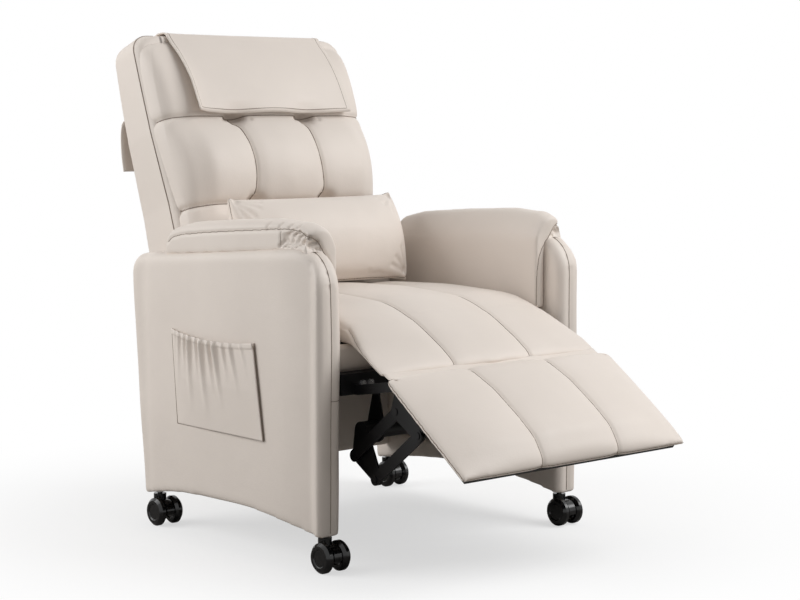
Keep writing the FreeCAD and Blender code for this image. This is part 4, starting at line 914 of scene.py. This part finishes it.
# Lumbar pillow: two panels sewn round the edge over loose filling, with puckers at the corners.
pillow = filling_of("lumbar_pillow", "lumbar_pillow_cover", voxel=0.005, smooth=20)
stuff(pillow, pressure=2.0, cap=0.004, shrink=0.001)
refine(pillow)
tilt = math.radians(18.6)
pillow_y, pillow_z, pillow_widening, pillow_shift = 0.1162, 0.563, 1.02, -0.005
points, _ = skin(pillow)
height = (points - (0, pillow_y, pillow_z)) @ np.array((0, math.sin(tilt), math.cos(tilt)))
points[:, 2] += 0.13 * np.minimum(height, 0)
points[:, 0] = pillow_widening * points[:, 0] + pillow_shift
set_points(pillow, points)


def on_pillow(x, up, behind):
    """A point by its distance from the middle of the pillow, up it and square behind it."""
    return Vector((pillow_widening * x + pillow_shift,
                   pillow_y + up * math.sin(tilt) + behind * math.cos(tilt),
                   pillow_z + up * math.cos(tilt) - behind * math.sin(tilt)))


corners = ((-1, -1), (-1, 1), (1, 1), (1, -1))
for sx, sz in corners:
    for far_x, far_up in ((0.150, 0.086), (0.160, 0.066), (0.178, 0.045), (0.198, 0.035)):
        pucker = [on_pillow(sx * 0.190, sz * 0.084, -0.01),
                  on_pillow(sx * (far_x + 0.200) / 2, sz * (far_up + 0.089) / 2, -0.03),
                  on_pillow(sx * far_x, sz * far_up, -0.05)]
        furrow(pillow, pucker, depth=0.0028, width=0.0055)
rim = [on_pillow(x, up, 0) for x, up in
       ((-0.2, -0.092), (-0.1, -0.088), (0, -0.087), (0.1, -0.088), (0.2, -0.092), (0.205, -0.04),
        (0.205, 0.04), (0.2, 0.092), (0.1, 0.088), (0, 0.087), (-0.1, 0.088), (-0.2, 0.092),
        (-0.205, 0.04), (-0.205, -0.04), (-0.2, -0.092))]
sew(pillow, "lumbar_pillow_seam", "back", rim, depth=0.0020, width=0.0032)
dress(pillow, "back", leather, "leather", "lumbar_pillow")

# Studio: a pale paper floor that fades to white, a white surround, a soft key light in front on the
# left and a soft fill light behind on the right.
bpy.ops.object.select_all(action="DESELECT")
bpy.ops.mesh.primitive_plane_add(size=24)
floor = bpy.context.object
floor.name = "studio_floor"
paper, tree, shader, place = new_material("studio_paper_white")
shader.inputs["Roughness"].default_value = 0.95
shader.inputs["Specular IOR Level"].default_value = 0.0
sight = add_node(tree, "ShaderNodeLightPath")
tint = add_node(tree, "ShaderNodeMix", [("Factor", sight, "Is Camera Ray")], data_type="RGBA")
tint.inputs[6].default_value = linear("A8A5A1")
tint.inputs[7].default_value = linear("FFFFFF")
tree.links.new(tint.outputs[2], shader.inputs["Base Color"])
bare = add_node(tree, "ShaderNodeEmission", Strength=1.0)
bare.inputs["Color"].default_value = (1, 1, 1, 1)
radius = add_node(tree, "ShaderNodeVectorMath", [(0, place, "Object")], operation="LENGTH")
fade = add_node(tree, "ShaderNodeMapRange", [("Value", radius, "Value")],
                interpolation_type="SMOOTHSTEP")
fade.inputs["From Min"].default_value = 0.3
fade.inputs["From Max"].default_value = 1.2
fade.inputs["To Min"].default_value = 0.6
seen = add_node(tree, "ShaderNodeMath", [(0, fade, "Result"), (1, sight, "Is Camera Ray")],
                operation="MULTIPLY")
blend = add_node(tree, "ShaderNodeMixShader",
                 [("Fac", seen, "Value"), (1, shader, "BSDF"), (2, bare, "Emission")])
tree.links.new(blend.outputs["Shader"], tree.nodes["Material Output"].inputs["Surface"])
floor.data.materials.append(paper)

world = bpy.data.worlds.new("studio")
bpy.context.scene.world = world
world.use_nodes = True
tree = world.node_tree
surround = tree.nodes["Background"]
surround.inputs["Color"].default_value = (1, 1, 1, 1)
surround.inputs["Strength"].default_value = 0.32
backdrop = add_node(tree, "ShaderNodeBackground", Strength=1.0)
backdrop.inputs["Color"].default_value = (1, 1, 1, 1)
sight = add_node(tree, "ShaderNodeLightPath")
reflected = add_node(tree, "ShaderNodeMath",
                     [(0, sight, "Is Camera Ray"), (1, sight, "Is Glossy Ray")], operation="MAXIMUM")
seen = add_node(tree, "ShaderNodeMath", [(0, reflected, "Value"), (1, sight, "Is Transmission Ray")],
                operation="MAXIMUM")
choose = add_node(tree, "ShaderNodeMixShader",
                  [("Fac", seen, "Value"), (1, surround, "Background"), (2, backdrop, "Background")])
tree.links.new(choose.outputs["Shader"], tree.nodes["World Output"].inputs["Surface"])

for name, spot, aim, size, power in (("key", (1.80, -2.10, 2.45), (0, -0.1, 0.5), 2.4, 86),
                                     ("fill", (-2.45, 1.5, 1.6), (0, 0, 0.5), 2.2, 56)):
    lamp = bpy.data.lights.new(name, "AREA")
    lamp.size = size
    lamp.energy = power
    light = bpy.data.objects.new(name, lamp)
    bpy.context.scene.collection.objects.link(light)
    light.location = spot
    light.rotation_euler = (Vector(aim) - Vector(spot)).to_track_quat("-Z", "Y").to_euler()

camera = bpy.data.objects.new("camera", bpy.data.cameras.new("camera"))
bpy.context.scene.collection.objects.link(camera)
right, ahead = Vector((0.75399, -0.65688, 0)), Vector((0.65365, 0.75028, -0.09910))
facing = Matrix((right, right.cross(ahead), -ahead)).transposed()
camera.matrix_world = Matrix.Translation((-2.3698, -2.8424, 0.8135)) @ facing.to_4x4()
camera.data.sensor_width = 36
camera.data.lens = 85.14
bpy.context.scene.camera = camera
bpy.context.scene.view_settings.view_transform = "Standard"
